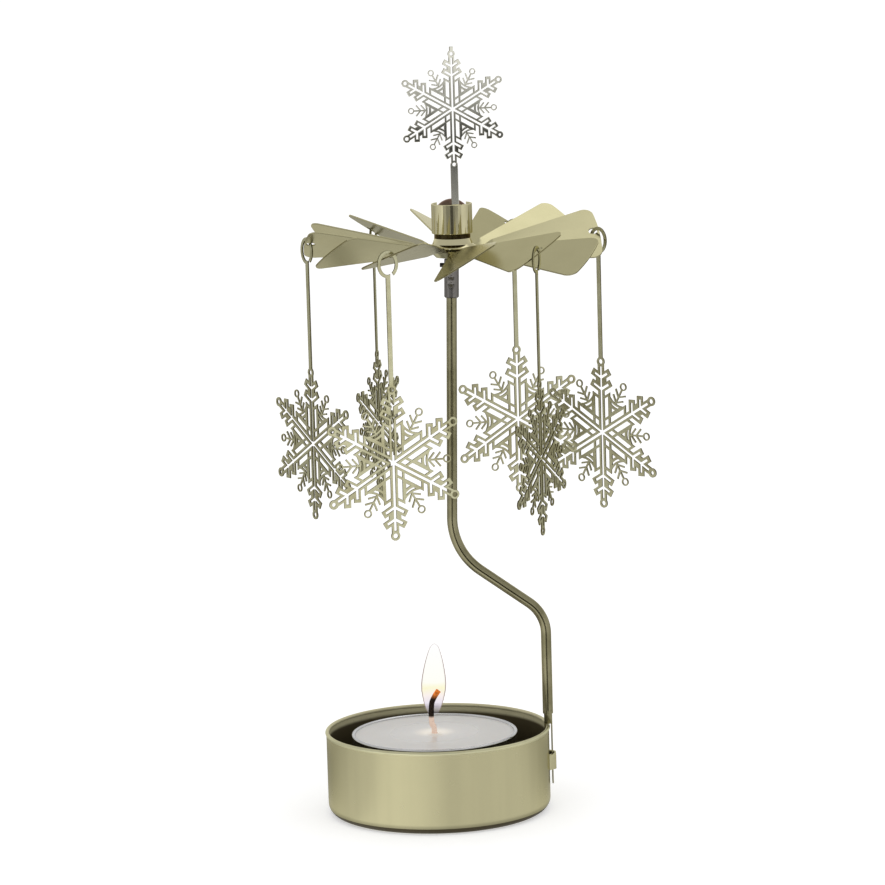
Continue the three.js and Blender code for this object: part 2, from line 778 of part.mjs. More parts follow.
// Where a hook hangs on a vane whose middle line lies along X. Its sheet crosses the hole's
// middle and holds the metal between the hole and the vane's end, and the roof of its oval
// clears both ends of that metal by the hook's gap.
function hookSeat(hookTurn, [pitchDegrees, riseDegrees]) {
  const [angle, pitch, rise] = [hookTurn, pitchDegrees, riseDegrees].map(toRadians);
  const across = -Math.sin(angle) / Math.cos(pitch);
  const along = (Math.cos(angle) + across * Math.sin(pitch) * Math.sin(rise)) / Math.cos(rise);
  const slope = (x, y) => Math.tan(rise) * x + (Math.tan(pitch) * y) / Math.cos(rise);
  const climb = slope(Math.cos(angle), -Math.sin(angle));
  const fromHole = holeRadius / Math.hypot(along, across);
  const square = across ** 2 / (2 * vaneTipCurve);
  const linear = along + (across * holeSide) / vaneTipCurve;
  const left = vaneTip - holeAt - holeSide ** 2 / (2 * vaneTipCurve);
  const toEnd = (Math.sqrt(linear ** 2 + 4 * square * left) - linear) / (2 * square);
  const middle = fromHole + (toEnd - fromHole) * hookRestShare;
  const thickness = vaneSheet / (Math.cos(pitch) * Math.cos(rise));
  const metalTop = (thickness + flakeSheet * slope(Math.sin(angle), Math.cos(angle))) / 2;
  const roof = (x) => hookInner.y * Math.sqrt(Math.max(1 - (x / hookInner.x) ** 2, 0));
  const rises = [fromHole, toEnd].map((reach) => metalTop + climb * reach + hookGap - roof(reach - middle));
  const hole = new THREE.Vector3(holeAt, holeSide, 0).applyMatrix4(bentBy(pitchDegrees, riseDegrees));
  return hole.add(new THREE.Vector3(
    middle * Math.cos(angle),
    -middle * Math.sin(angle),
    Math.max(...rises),
  ));
}

const root = new THREE.Group();
root.add(
  piece('candle_cup', candleCup(), brass),
  piece('stem', stem(), brass),
  onUpperRun(
    piece('needle_sleeve', needleSleeve(), steel),
    piece('pivot_needle', pivotNeedle(), steel),
    piece('cross_pin', crossPin(), steel),
  ),
);

const tealight = new THREE.Group();
tealight.position.set(tealightX, 0, tealightFloor);
tealight.add(
  piece('tealight_shell', tealightShell(), aluminium),
  piece('wax', waxFill(), waxWhite),
  piece('wick_foot', wickFoot(), steel),
  piece('wick', wick(), wickBlack),
);
root.add(tealight);

// Everything that turns with the rotor is placed from the needle's axis
const rotor = new THREE.Group();
rotor.position.x = rotorX;
root.add(rotor);

const wheel = piece('vane_wheel', vaneWheel(), brass);
wheel.position.z = hubPlane;
wheel.rotation.z = toRadians(firstVane);
rotor.add(
  wheel,
  piece('hub_collar', hubCollar(), mirrorBrass),
  piece('bearing_dome', bearingDome(), mirrorBrass),
);

// The topper's strip stands between the dome and the collar, in front of the axis
const topperAngle = toRadians(topperTurn);
const topperReach = (domeRadius + collarRadius - collarWall) / 2;
const topperPlace = new THREE.Vector3(0, -topperReach, topperHeight);
topperPlace.applyAxisAngle(new THREE.Vector3(0, 0, 1), topperAngle);
rotor.add(stood(piece('topper_snowflake', topper(), mirrorBrass), topperPlace, topperAngle));

const pendantSolid = pendant();
hookTurns.forEach((hookTurn, i) => {
  const vaneAngle = toRadians(firstVane + (2 * i * 360) / vaneCount);
  const place = hookSeat(hookTurn, vaneBend(2 * i)).add(new THREE.Vector3(0, 0, hubPlane));
  place.applyAxisAngle(new THREE.Vector3(0, 0, 1), vaneAngle);
  const mesh = piece(`pendant_snowflake_${i + 1}`, pendantSolid, brass);
  rotor.add(stood(mesh, place, vaneAngle - toRadians(hookTurn)));
});

export default root;
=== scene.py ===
"""Brass candle carousel: a tealight in a drawn cup drives a twelve-bladed wheel that hangs six
pierced snowflakes. Each group of pieces has its own operator, and the sidebar lists them all.

The frame is loaded first. Lengths are metres, +Z is up, +X points at the stem, and the origin
is the centre of the cup's underside.
"""

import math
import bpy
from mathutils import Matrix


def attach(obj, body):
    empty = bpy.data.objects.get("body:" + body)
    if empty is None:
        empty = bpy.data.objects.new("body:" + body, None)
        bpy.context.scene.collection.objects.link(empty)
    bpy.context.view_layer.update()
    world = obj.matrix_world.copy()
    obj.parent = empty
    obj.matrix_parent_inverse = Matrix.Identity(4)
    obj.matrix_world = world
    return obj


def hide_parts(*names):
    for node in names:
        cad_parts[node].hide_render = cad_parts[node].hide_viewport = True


bl_info = {
    "name": "Candle carousel",
    "version": (1, 0, 0),
    "blender": (4, 5, 0),
    "location": "View3D > Sidebar > Carousel",
    "description": "Builds a brass candle carousel with a tealight, a vane wheel and snowflakes",
    "category": "Add Mesh",
}

import bmesh
import bpy
from mathutils import Matrix, Vector

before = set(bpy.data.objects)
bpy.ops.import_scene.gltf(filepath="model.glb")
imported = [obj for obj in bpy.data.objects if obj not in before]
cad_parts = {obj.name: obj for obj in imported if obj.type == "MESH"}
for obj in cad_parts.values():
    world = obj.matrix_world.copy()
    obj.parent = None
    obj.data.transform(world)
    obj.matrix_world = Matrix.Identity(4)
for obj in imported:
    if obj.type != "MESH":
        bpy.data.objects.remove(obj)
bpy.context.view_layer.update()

MM = 0.001
TURN = 2 * math.pi
SIXTH = math.pi / 3
WELD = 1e-7
SAME_POINT = 20 * WELD

# Edges sharper than this stay sharp. Sheets shade flat right up to their rounded edges.
SHARP_ANGLE = math.radians(32)
SHEET_SHARP = math.radians(14)
# A turned profile has a point this close to both ends of each run that is longer than the first
LONG_RUN = 0.8 * MM
RUN_END = 0.07 * MM
# A corner's round takes up at most this share of the edges beside it
CORNER_SHARE = 0.45

# Fits that several pieces share
SEAT_GAP = 0.25 * MM
SLIDE_GAP = 0.3 * MM
BORE_GAP = 0.15 * MM
WAX_GAP = 0.2 * MM
WAX_EDGE_GAP = 0.03 * MM
OVERRUN = 1 * MM

# Rounds and chamfers of single pieces
SHEET_EDGE = 0.05 * MM
LOOP_EDGE = 0.06 * MM
LOOP_ROUND = 0.35 * MM
SHELL_CORNER = 0.6 * MM
HOLDER_ROUND = 0.08 * MM
CLIP_ROUND = 0.12 * MM
SEAM_LIP = 0.09 * MM
COLLAR_ROUND = 0.14 * MM
CHAMFER = 0.25 * MM
PIN_CHAMFER = 0.15 * MM


# Properties

def length(name, description, millimetres):
    return bpy.props.FloatProperty(
        name=name, description=description, default=millimetres * MM, unit="LENGTH", precision=5
    )


def angle(name, description, degrees):
    return bpy.props.FloatProperty(
        name=name, description=description, default=math.radians(degrees), unit="ROTATION"
    )


def share(name, description, value):
    return bpy.props.FloatProperty(
        name=name, description=description, default=value, min=0, max=1, subtype="FACTOR"
    )


def tint(name, description, red, green, blue):
    return bpy.props.FloatVectorProperty(
        name=name, description=description, default=(red, green, blue), size=3, min=0, max=1,
        subtype="COLOR",
    )


class CupSizes(bpy.types.PropertyGroup):
    radius: length("Radius", "Outside of the cup's wall", 25.85)
    height: length("Height", "From the table to the top of the rim", 19.45)
    wall: length("Wall", "Sheet that the cup is drawn from", 0.4)
    corner: length("Corner", "Round between the wall and the floor", 2.6)
    bead: length("Bead", "Radius of the rolled rim", 0.45)
    loop_base: length("Loop foot", "Height of the loop's lower edge", 9.1)
    loop_height: length("Loop height", "How tall the loop is", 3.6)
    loop_width: length("Loop width", "Width of the loop's window", 4.2)
    loop_leg: length("Loop leg", "How far the loop's legs spread", 1.1)


class TealightSizes(bpy.types.PropertyGroup):
    offset: length("Offset", "How far the tealight stands from the middle of the cup", -0.72)
    radius: length("Radius", "Outside of the rolled edge", 19.3)
    height: length("Height", "From the cup's floor to the rolled edge", 17.85)
    wall: length("Wall", "Sheet of the pressed shell", 0.3)
    roll: length("Rolled edge", "Radius of the rolled edge", 0.45)
    wax_drop: length("Wax drop", "From the rolled edge to the wax", 0.4)
    wax_dish: length("Wax dish", "How far the wax dips to its pool", 0.35)
    pool: length("Pool", "Radius of the melted pool", 10)
    foot_radius: length("Wick foot", "Radius of the wick's foot", 5.2)
    foot_sheet: length("Foot sheet", "Sheet of the wick's foot", 0.3)
    neck_radius: length("Neck", "Radius of the neck that holds the wick", 1.3)
    neck_height: length("Neck height", "Height of the neck that holds the wick", 3.2)
    wick_radius: length("Wick", "Radius of the wick", 0.62)
    flame_foot: length("Flame foot", "Height of the flame's lower end over the table", 21.9)
    flame_height: length("Flame height", "How tall the flame is", 17.3)
    flame_radius: length("Flame radius", "Half the flame's widest width", 2.9)


class StemSizes(bpy.types.PropertyGroup):
    radius: length("Radius", "Outside of the rolled tube", 1.2)
    wall: length("Wall", "Sheet that the tube is rolled from", 0.36)
    seam: length("Seam", "Gap of the tube's seam", 0.2)
    foot_rise: length("Foot rise", "From the cup's rim to the tube's lower end", 2.6)
    low_bend: length("Low bend", "Height of the lower bend's corner", 45.55)
    low_round: length("Low round", "Radius of the lower bend", 9)
    high_bend: length("High bend", "Height of the upper bend's corner", 60.85)
    high_round: length("High round", "Radius of the upper bend", 15)
    high_x: length("High bend across", "Where the upper bend's corner stands", 4.56)
    clip_sheet: length("Clip sheet", "Thickness of the pressed clip", 0.32)
    clip_width: length("Clip width", "Width of the pressed clip", 2.2)
    clip_proud: length("Clip proud", "How far the clip stands out of the tube", 0.25)
    tab_end: length("Tab end", "Height of the outer tab's lower end", 5.5)
    tongue: length("Tongue", "From the cup's rim to the inner tongue's lower end", 2.1)
    neck_rise: length("Neck rise", "How far the clip reaches into the tube", 0.75)


class NeedleSizes(bpy.types.PropertyGroup):
    across: length("Across", "Where the rotor's axis stands", 6.6)
    tip: length("Tip", "Height of the needle's tip", 141.85)
    radius: length("Radius", "Radius of the needle", 0.6)
    taper: length("Taper", "Length of the needle's taper", 3)
    point: length("Point", "Radius of the needle's tip", 0.12)
    shank_radius: length("Shank", "Radius of the needle's shank", 1.1)
    shank: length("Shank length", "Length of the needle's shank", 4.3)
    sleeve_foot: length("Sleeve foot", "Height of the sleeve's lower end", 119.75)
    sleeve_length: length("Sleeve length", "Length of the sleeve", 8.9)
    sleeve_wall: length("Sleeve wall", "Wall of the sleeve", 0.34)
    stem_inside: length("Stem inside", "How far the stem reaches into the sleeve", 4)
    pin_radius: length("Pin", "Radius of the cross pin", 0.5)
    pin_proud: length("Pin proud", "How far the pin stands out of the sleeve", 1)
    pin_height: length("Pin height", "Height of the cross pin", 127.25)
    dimple: length("Dimple", "Depth of a crimp's dimple", 0.3)


class WheelSizes(bpy.types.PropertyGroup):
    plane: length("Plane", "Height of the sheet's middle at the hub", 130.8)
    sheet: length("Sheet", "Thickness of the stamped wheel", 0.35)
    slit: length("Slit", "Gap between two vanes", 0.3)
    tip: length("Tip", "From the axis to a vane's end", 33.95)
    tip_round: length("Tip round", "Radius of a vane's curved end", 45)
    corner: length("Corner", "Round at a vane's corner", 2.2)
    hub: length("Hub", "Radius at which the vanes leave the hub", 5.7)
    twist_end: length("Twist end", "Radius at which the twist ends", 9.6)
    bowl_depth: length("Bowl depth", "Depth of the pressed hub", 1.5)
    bowl_radius: length("Bowl radius", "Outside of the pressed hub's floor", 3.9)
    bore: length("Bore", "Radius of the hole in the hub", 2.35)
    hole: length("Hole", "Radius of the holes that hold the hooks", 1)
    hole_margin: length("Hole margin", "Metal between a hole and the vane's end", 0.45)
    hole_side: length("Hole side", "How far a hole stands from the vane's middle line", 0.6)
    vanes: bpy.props.IntProperty(name="Vanes", description="How many vanes", default=12, min=3)
    first: angle("First vane", "Where the first vane points", 4.8)
    collar: length("Collar", "Outside of the collar", 4.68)
    collar_neck: length("Collar neck", "Outside of the collar's neck", 4.15)
    collar_wall: length("Collar wall", "Wall of the collar", 0.35)
    collar_top: length("Collar top", "Height of the collar's top", 141.4)
    collar_foot: length("Collar foot", "Height at which the neck begins", 134.45)
    flange: length("Flange", "Radius of the collar's foot", 5.55)
    flange_rise: length("Flange rise", "Height of the foot's lower slope", 1)
    flare: length("Flare", "Radius half way up the foot's slope", 4.6)
    neck_foot: length("Neck foot", "Height at which the slope meets the neck", 133.5)
    notch_width: length("Notch width", "Width of the notch in the collar", 6.6)
    notch_depth: length("Notch depth", "Depth of the notch in the collar", 2.2)
    dome: length("Dome", "Radius of the bearing dome", 3.2)
    dome_wall: length("Dome wall", "Wall of the bearing dome", 0.35)
    dome_crown: length("Dome crown", "Rise of the bearing dome's crown", 1.48)


class FlakeSizes(bpy.types.PropertyGroup):
    radius: length("Radius", "From a pendant's centre to the ring of an arm", 16.5)
    sheet: length("Sheet", "Thickness of the snowflakes", 0.4)
    strip: length("Strip", "Width of a pendant's strip", 1.1)
    hook_width: length("Hook width", "Outside width of a hook", 4.9)
    hook_height: length("Hook height", "Outside height of a hook", 6.2)
    hook_band: length("Hook band", "Width of a hook's band", 0.78)
    hook_gap: length("Hook gap", "Room between a hook and what it hangs from", 0.32)
    hook_drop: length("Hook drop", "From a hook's middle to its snowflake's centre", 44.5)
    hook_open: angle("Hook opening", "How much of a hook is open", 34)
    hook_rest: share("Hook rest", "Where on its metal a hook rests", 0.42)
    topper_radius: length("Topper radius", "From the topper's centre to the ring of an arm", 12.5)
    topper_strip: length("Topper strip", "Width of the topper's strip", 1.7)
    topper_rise: length("Topper rise", "From the collar's top to the topper's centre", 21.65)
    topper_stub: length("Topper stub", "Length of the stub on the topper's upper ring", 0.8)
    topper_stub_width: length("Stub width", "Width of that stub", 0.85)
    topper_turn: angle("Topper turn", "How far the topper is turned", 13)
    edge: length("Edge", "Round of the stamped edges", 0.09)


class Finishes(bpy.types.PropertyGroup):
    brass: tint("Brass", "Satin brass of the cup", 0.47, 0.44, 0.265)
    flake_edge: tint("Flake edge", "Darker cut edge of the snowflakes", 0.13, 0.115, 0.055)
    # This colour is painted shade in the recess under the collar
    groove: tint("Groove", "Tarnish in the groove under the collar", 0.035, 0.026, 0.012)
    # This colour is a painted highlight on the cup's rolled rim
    rim: tint("Rim", "Brighter band round the cup's rim", 0.6, 0.58, 0.38)
    # This colour is painted shade round the cup's foot, where it meets the floor
    foot: tint("Foot", "Dull edge round the cup's foot", 0.34, 0.31, 0.18)
    lining: tint("Lining", "Duller inside of the cup", 0.6, 0.56, 0.36)
    # This colour is painted shade on the inside of the cup lower down
    inner_shade: tint("Soot", "Inside of the cup lower down", 0.07, 0.055, 0.025)
    wheel: tint("Wheel", "Polished upper side of the vanes", 0.47, 0.44, 0.265)
    # This colour is painted shade: a darker copy of the vanes' brass for their lower side
    underside: tint("Underside", "Duller lower side of the vanes", 0.345, 0.325, 0.205)
    flake: tint("Snowflake", "Brass of the pendants", 0.47, 0.455, 0.3)
    cut_edge: tint("Cut edge", "Darker cut edges of the sheets", 0.2, 0.175, 0.085)
    bright: tint("Bright brass", "Mirror brass of the collar", 0.56, 0.52, 0.33)
    silver: tint("Pale plating", "Mirror plating of the topper", 0.78, 0.77, 0.67)
    copper: tint("Copper", "Warm brass of the bearing dome", 0.09, 0.06, 0.045)
    stem: tint("Stem", "Olive brass of the stem", 0.27, 0.25, 0.15)
    steel: tint("Steel", "Grey steel of the sleeve and needle", 0.17, 0.16, 0.15)
    dark_steel: tint("Dark steel", "Dark steel of the cross pin", 0.035, 0.033, 0.03)
    aluminium: tint("Aluminium", "Shell of the tealight", 0.62, 0.62, 0.62)
    tarnish: tint("Tarnish", "What dulls the brass", 0.26, 0.23, 0.11)
    wax: tint("Wax", "White wax", 0.66, 0.645, 0.62)
    wick: tint("Wick", "Charred cotton", 0.006, 0.005, 0.004)
    ember: tint("Ember", "Glowing end of the wick", 0.85, 0.22, 0.03)
    # This colour is painted light from the flame on the wick's foot
    wick_foot: tint("Waxed wick", "Wick where the flame lights it from above", 0.74, 0.56, 0.46)


class StageSettings(bpy.types.PropertyGroup):
    floor: length("Floor", "Half the width of the floor", 5000)
    camera_x: length("Camera across", "Where the camera stands, across", 1.7)
    camera_y: length("Camera back", "Where the camera stands, in front", -950.27)
    camera_z: length("Camera height", "How high the camera stands", 235.49)
    camera_yaw: angle("Yaw", "Turn of the camera to the right", 0.0799)
    camera_pitch: angle("Pitch", "Tilt of the camera downwards", 8.9232)
    camera_roll: angle("Roll", "Roll of the camera", -1.6272)
    lens: bpy.props.FloatProperty(
        name="Lens", description="Focal length", default=170.26, min=1, unit="CAMERA"
    )
    sky: share("Sky", "Brightness of the room for light", 0.8)
    ceiling: share("Ceiling", "Brightness of the ceiling in reflections", 0.72)
    softbox: bpy.props.FloatProperty(
        name="Softbox", description="Brightness of the softbox in reflections", default=1.6, min=0
    )


class CarouselSettings(bpy.types.PropertyGroup):
    cup: bpy.props.PointerProperty(type=CupSizes)
    tealight: bpy.props.PointerProperty(type=TealightSizes)
    stem: bpy.props.PointerProperty(type=StemSizes)
    needle: bpy.props.PointerProperty(type=NeedleSizes)
    wheel: bpy.props.PointerProperty(type=WheelSizes)
    flakes: bpy.props.PointerProperty(type=FlakeSizes)
    finishes: bpy.props.PointerProperty(type=Finishes)
    stage: bpy.props.PointerProperty(type=StageSettings)


def in_radians(*degrees):
    return [math.radians(value) for value in degrees]


# How far each vane is twisted, and how far it is bent up at the hub
TWISTS = in_radians(36, 30.5, 30.5, 30.5, 30.5, 30.5, 26, 28.5, 22, 30, 27.5, 24)
RISES = in_radians(5.4, 7.7, 4.4, 5.1, 4.8, 4.3, 4.9, 4.1, 4.4, 1.3, 3.9, -2.2)
# How far each hook is turned clockwise, seen from above, from its own vane's centre line
HOOK_TURNS = in_radians(45, 40, 53, 61, 45, 57)


# Shapes

def arc(centre, height, radius, start, end, steps):
    """Points on an arc of a profile, from one angle in degrees to another."""
    points = []
    for i in range(steps + 1):
        at = math.radians(start + (end - start) * i / steps)
        points.append((centre + radius * math.cos(at), height + radius * math.sin(at)))
    return points


def rounded(points, radius, steps=4):
    """A closed outline with each corner rounded."""
    result = []
    for before, corner, after in zip(points[-1:] + points[:-1], points, points[1:] + points[:1]):
        here = Vector(corner)
        back = Vector(before) - here
        ahead = Vector(after) - here
        half = back.angle(ahead) / 2
        reach = min(radius / math.tan(half), CORNER_SHARE * back.length, CORNER_SHARE * ahead.length)
        start = here + back.normalized() * reach
        end = here + ahead.normalized() * reach
        for i in range(steps + 1):
            t = i / steps
            point = start * (1 - t) ** 2 + here * 2 * t * (1 - t) + end * t ** 2
            result.append(tuple(point))
    return result


def held(profile, closed):
    """A profile with a point close to both ends of each long run, so that the runs shade flat."""
    points = []
    for i, here in enumerate(profile):
        points.append(here)
        if i == len(profile) - 1 and not closed:
            break
        start = Vector(here)
        run = Vector(profile[(i + 1) % len(profile)]) - start
        if run.length > LONG_RUN:
            step = run.normalized() * RUN_END
            points += [tuple(start + step), tuple(start + run - step)]
    return points


def turned(profile, steps=160):
    """A profile of (radius, height) points turned about +Z. One that stays clear of the axis is
    closed on itself."""
    closed = profile[0][0] > 0
    profile = held(profile, closed)
    mesh = bmesh.new()
    rings = []
    for i in range(steps):
        at = TURN * i / steps
        rings.append([
            mesh.verts.new((radius * math.cos(at), radius * math.sin(at), height))
            for radius, height in profile
        ])
    for ring, following in zip(rings, rings[1:] + rings[:1]):
        for j in range(len(profile) - (0 if closed else 1)):
            k = (j + 1) % len(profile)
            mesh.faces.new((ring[j], following[j], following[k], ring[k]))
    bmesh.ops.remove_doubles(mesh, verts=mesh.verts, dist=WELD)
    bmesh.ops.recalc_face_normals(mesh, faces=mesh.faces)
    return mesh


def swept(path, section):
    """A closed section of (forward, side) points carried along a path of points in the XZ plane."""
    mesh = bmesh.new()
    front = Vector((0, -1, 0))
    points = [Vector(point) for point in path]
    rings = []
    for i, point in enumerate(points):
        ahead = points[min(i + 1, len(points) - 1)] - points[max(i - 1, 0)]
        side = ahead.normalized().cross(front)
        rings.append([mesh.verts.new(point + front * a + side * b) for a, b in section])
    for ring, following in zip(rings, rings[1:]):
        for j in range(len(section)):
            k = (j + 1) % len(section)
            mesh.faces.new((ring[j], ring[k], following[k], following[j]))
    mesh.faces.new(list(reversed(rings[0])))
    mesh.faces.new(rings[-1])
    bmesh.ops.recalc_face_normals(mesh, faces=mesh.faces)
    return mesh


def filled(name, mesh):
    """Mesh data made from a working mesh, which is freed."""
    data = bpy.data.meshes.new(name)
    mesh.to_mesh(data)
    mesh.free()
    return data


def linked(name, data):
    """An object in the scene that holds some data."""
    made = bpy.data.objects.new(name, data)
    bpy.context.scene.collection.objects.link(made)
    return made


def evaluated(holder):
    """A working mesh of an object with its modifiers and bevels applied."""
    graph = bpy.context.evaluated_depsgraph_get()
    data = bpy.data.meshes.new_from_object(holder.evaluated_get(graph))
    mesh = bmesh.new()
    mesh.from_mesh(data)
    bpy.data.meshes.remove(data)
    return mesh


def pressed_sheet(loops, thickness, edge):
    """A flat sheet in the XY plane inside the first closed loop of points and outside the rest,
    with its cut edges rounded."""
    curve = bpy.data.curves.new("outline", "CURVE")
    curve.dimensions = "2D"
    curve.fill_mode = "BOTH"
    curve.extrude = (thickness / 2 - edge) / MM
    curve.bevel_depth = edge / MM
    curve.bevel_resolution = 1
    curve.offset = -edge / MM
    for loop in loops:
        spline = curve.splines.new("POLY")
        spline.points.add(len(loop) - 1)
        for point, (x, y) in zip(spline.points, loop):
            point.co = (x / MM, y / MM, 0, 1)
        spline.use_cyclic_u = True
    holder = linked("outline", curve)
    mesh = evaluated(holder)
    bpy.data.objects.remove(holder)
    bpy.data.curves.remove(curve)
    mesh.transform(Matrix.Scale(MM, 4))
    bmesh.ops.remove_doubles(mesh, verts=mesh.verts, dist=WELD)
    bmesh.ops.recalc_face_normals(mesh, faces=mesh.faces)
    return mesh


def block(low, high):
    mesh = bmesh.new()
    bmesh.ops.create_cube(mesh, size=1)
    low, high = Vector(low), Vector(high)
    mesh.transform(Matrix.Translation((low + high) / 2) @ Matrix.Diagonal((*(high - low), 1)))
    return mesh


def joined(meshes):
    """Meshes put side by side in one, with nothing cut."""
    whole = bmesh.new()
    for mesh in meshes:
        part = filled("part", mesh)
        whole.from_mesh(part)
        bpy.data.meshes.remove(part)
    return whole


def carved(mesh, tool, operation):
    """One solid after a boolean operation with another."""
    objects = [linked("solid", filled("solid", solid)) for solid in (mesh, tool)]
    modifier = objects[0].modifiers.new("carve", "BOOLEAN")
    modifier.operation = operation
    modifier.solver = "EXACT"
    modifier.object = objects[1]
    result = evaluated(objects[0])
    for solid in objects:
        data = solid.data
        bpy.data.objects.remove(solid)
        bpy.data.meshes.remove(data)
    return result


def moved(mesh, offset):
    mesh.transform(Matrix.Translation(offset))
    return mesh


def piece(name, mesh, materials, body, nodes, sharp=SHARP_ANGLE):
    """A finished piece, placed in the frame, that rides on a body and stands for CAD nodes."""
    data = filled(name, mesh)
    for material in materials:
        data.materials.append(material)
    data.shade_smooth()
    data.set_sharp_from_angle(angle=sharp)
    made = linked(name, data)
    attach(made, body)
    if nodes:
        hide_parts(*nodes)
    return made


# Materials

# How bright a metal is when seen edge on
EDGE_SHARE = 0.92
# Noise scales of the metals' wear, per metre
CLOUD_SCALE = 110
SPECK_SCALE = 1400
SMEAR_SCALE = 260
GRAIN_SCALE = 2600
WAVE_SCALE = 55
# How the drawing streaks darken and lift a sheet
STREAK_SHARE = 0.86
STREAK_LIFT = 0.05

# The metals. A colour or tarnish is one of the finishes, or red, green and blue. amount is how much
# tarnish shows, smudge how uneven the polish is, scale how fine the wear is, ripple how far the
# surface rolls and streaks the share by which drawing streaks show.
WEAR = {
    "tarnish": "tarnish", "amount": 0.3, "smudge": 0.1, "scale": 1.0, "ripple": 0.02, "streaks": 0,
}
METALS = {
    "cup brass": {
        "colour": "brass", "roughness": 0.26, "amount": 0.03, "smudge": 0.06, "ripple": 0.012,
        "streaks": 0.22,
    },
    "cup lining": {"colour": "lining", "roughness": 0.5},
    # Painted highlight on the rim band
    "cup rim": {"colour": "rim", "roughness": 0.3, "amount": 0.2},
    # Painted shade on the foot band
    "cup foot": {"colour": "foot", "roughness": 0.35},
    "tealight aluminium": {
        "colour": "aluminium", "tarnish": (0.35, 0.35, 0.36), "roughness": 0.22, "amount": 0.2,
        "ripple": 0.1,
    },
    "wick foot steel": {"colour": "aluminium", "tarnish": (0.3, 0.3, 0.3), "roughness": 0.3},
    "stem brass": {
        "colour": "stem", "tarnish": (0.13, 0.12, 0.06), "roughness": 0.24, "amount": 0.55,
        "smudge": 0.12, "scale": 2.0, "ripple": 0.04,
    },
    "sleeve steel": {
        "colour": "steel", "tarnish": (0.08, 0.08, 0.08), "roughness": 0.2, "scale": 2.0,
        "ripple": 0.05,
    },
    "pin steel": {"colour": "dark_steel", "tarnish": (0.02, 0.02, 0.02), "roughness": 0.3},
    "vane brass": {"colour": "wheel", "roughness": 0.2, "amount": 0.12, "smudge": 0.08},
    # Painted shade on the vanes' lower side
    "vane underside": {"colour": "underside", "roughness": 0.24, "amount": 0.2},
    "cut edge brass": {"colour": "cut_edge", "tarnish": (0.06, 0.05, 0.02), "roughness": 0.35},
    "collar brass": {
        "colour": "bright", "roughness": 0.07, "amount": 0.15, "smudge": 0.05, "scale": 2.0,
        "ripple": 0.008,
    },
    # Painted shade in the recess under the collar
    "collar groove": {"colour": "groove", "roughness": 0.2, "scale": 2.0},
    "dome copper": {"colour": "copper", "roughness": 0.2, "scale": 2.0, "ripple": 0.05},
    "snowflake brass": {
        "colour": "flake", "roughness": 0.22, "amount": 0.5, "smudge": 0.12, "scale": 2.0,
        "ripple": 0.06,
    },
    "snowflake cut edge": {
        "colour": "flake_edge", "tarnish": (0.05, 0.045, 0.02), "roughness": 0.4, "amount": 0.4,
    },
    "topper plating": {
        "colour": "silver", "tarnish": (0.35, 0.35, 0.28), "roughness": 0.05, "amount": 0.2,
        "smudge": 0.04, "scale": 3.0, "ripple": 0.012,
    },
}

# The wax. The flame's light lies round a place behind the wick: a wide halo and a close glow, each
# from full to nothing. The pool is wet up to shares of its radius.
HALO_BEHIND = 2.5 * MM
HALO_REACH = (0.6 * MM, 8 * MM)
GLOW_REACH = (1.5 * MM, 5.5 * MM)
WET_SHARES = (0.5, 1.6)
WAX_DEPTH = 2 * MM
WAX_SHADES = {
    "mottle": (0.60, 0.59, 0.575),
    "far": (0.02, 0.017, 0.012),
    "halo": (0.08, 0.068, 0.048),
    "glow": (0.24, 0.205, 0.15),
}

# The wick: where its lit foot fades, from and to, and the lighter strands of its braid
LIT_FADE = (-0.5 * MM, 0.2 * MM)
STRAND_SHADE = (0.03, 0.02, 0.014)

# The flame: its colours at shares of its height, and its rim
FLAME_COLOUR_SHARES = [
    (0.0, (0.60, 0.56, 0.66, 1)),
    (0.16, (0.78, 0.73, 0.84, 1)),
    (0.27, (0.95, 0.86, 0.82, 1)),
    (0.37, (0.96, 0.93, 0.62, 1)),
    (0.5, (1.0, 1.0, 0.93, 1)),
    (1.0, (1.0, 1.0, 1.0, 1)),
]
FLAME_RIM = (0.36, 0.27, 0.24)


def node_group(name, inputs, outputs):
    """An empty shader group with named sockets, or the one that is already there."""
    tree = bpy.data.node_groups.get(name)
    if tree:
        return tree, True
    tree = bpy.data.node_groups.new(name, "ShaderNodeTree")
    for label, kind, value in inputs:
        socket = tree.interface.new_socket(label, in_out="INPUT", socket_type=kind)
        if value is not None:
            socket.default_value = value
    for label, kind in outputs:
        tree.interface.new_socket(label, in_out="OUTPUT", socket_type=kind)
    return tree, False


def place(tree, kind, **values):
    """A node, with its properties and its input sockets set by name."""
    node = tree.nodes.new(kind)
    for key, value in values.items():
        label = key.replace("_", " ").title()
        if label in node.inputs:
            node.inputs[label].default_value = value
        else:
            setattr(node, key, value)
    return node


def maths(tree, operation, first, second=None):
    node = tree.nodes.new("ShaderNodeMath")
    node.operation = operation
    for socket, value in zip(node.inputs, (first, second)):
        if isinstance(value, bpy.types.NodeSocket):
            tree.links.new(value, socket)
        elif value is not None:
            socket.default_value = value
    return node.outputs["Value"]


def ranged(tree, value, low, high, to_low=0.0, to_high=1.0):
    node = place(tree, "ShaderNodeMapRange", interpolation_type="SMOOTHSTEP")
    tree.links.new(value, node.inputs["Value"])
    node.inputs["From Min"].default_value = low
    node.inputs["From Max"].default_value = high
    node.inputs["To Min"].default_value = to_low
    node.inputs["To Max"].default_value = to_high
    return node.outputs["Result"]


def mixed(tree, factor, first, second):
    node = tree.nodes.new("ShaderNodeMix")
    node.data_type = "RGBA"
    for label, value in (("Factor", factor), ("A", first), ("B", second)):
        socket = next(s for s in node.inputs if s.name == label and s.enabled)
        if isinstance(value, bpy.types.NodeSocket):
            tree.links.new(value, socket)
        elif label == "Factor":
            socket.default_value = value
        else:
            socket.default_value = (*value, 1)[:4]
    return next(s for s in node.outputs if s.enabled)


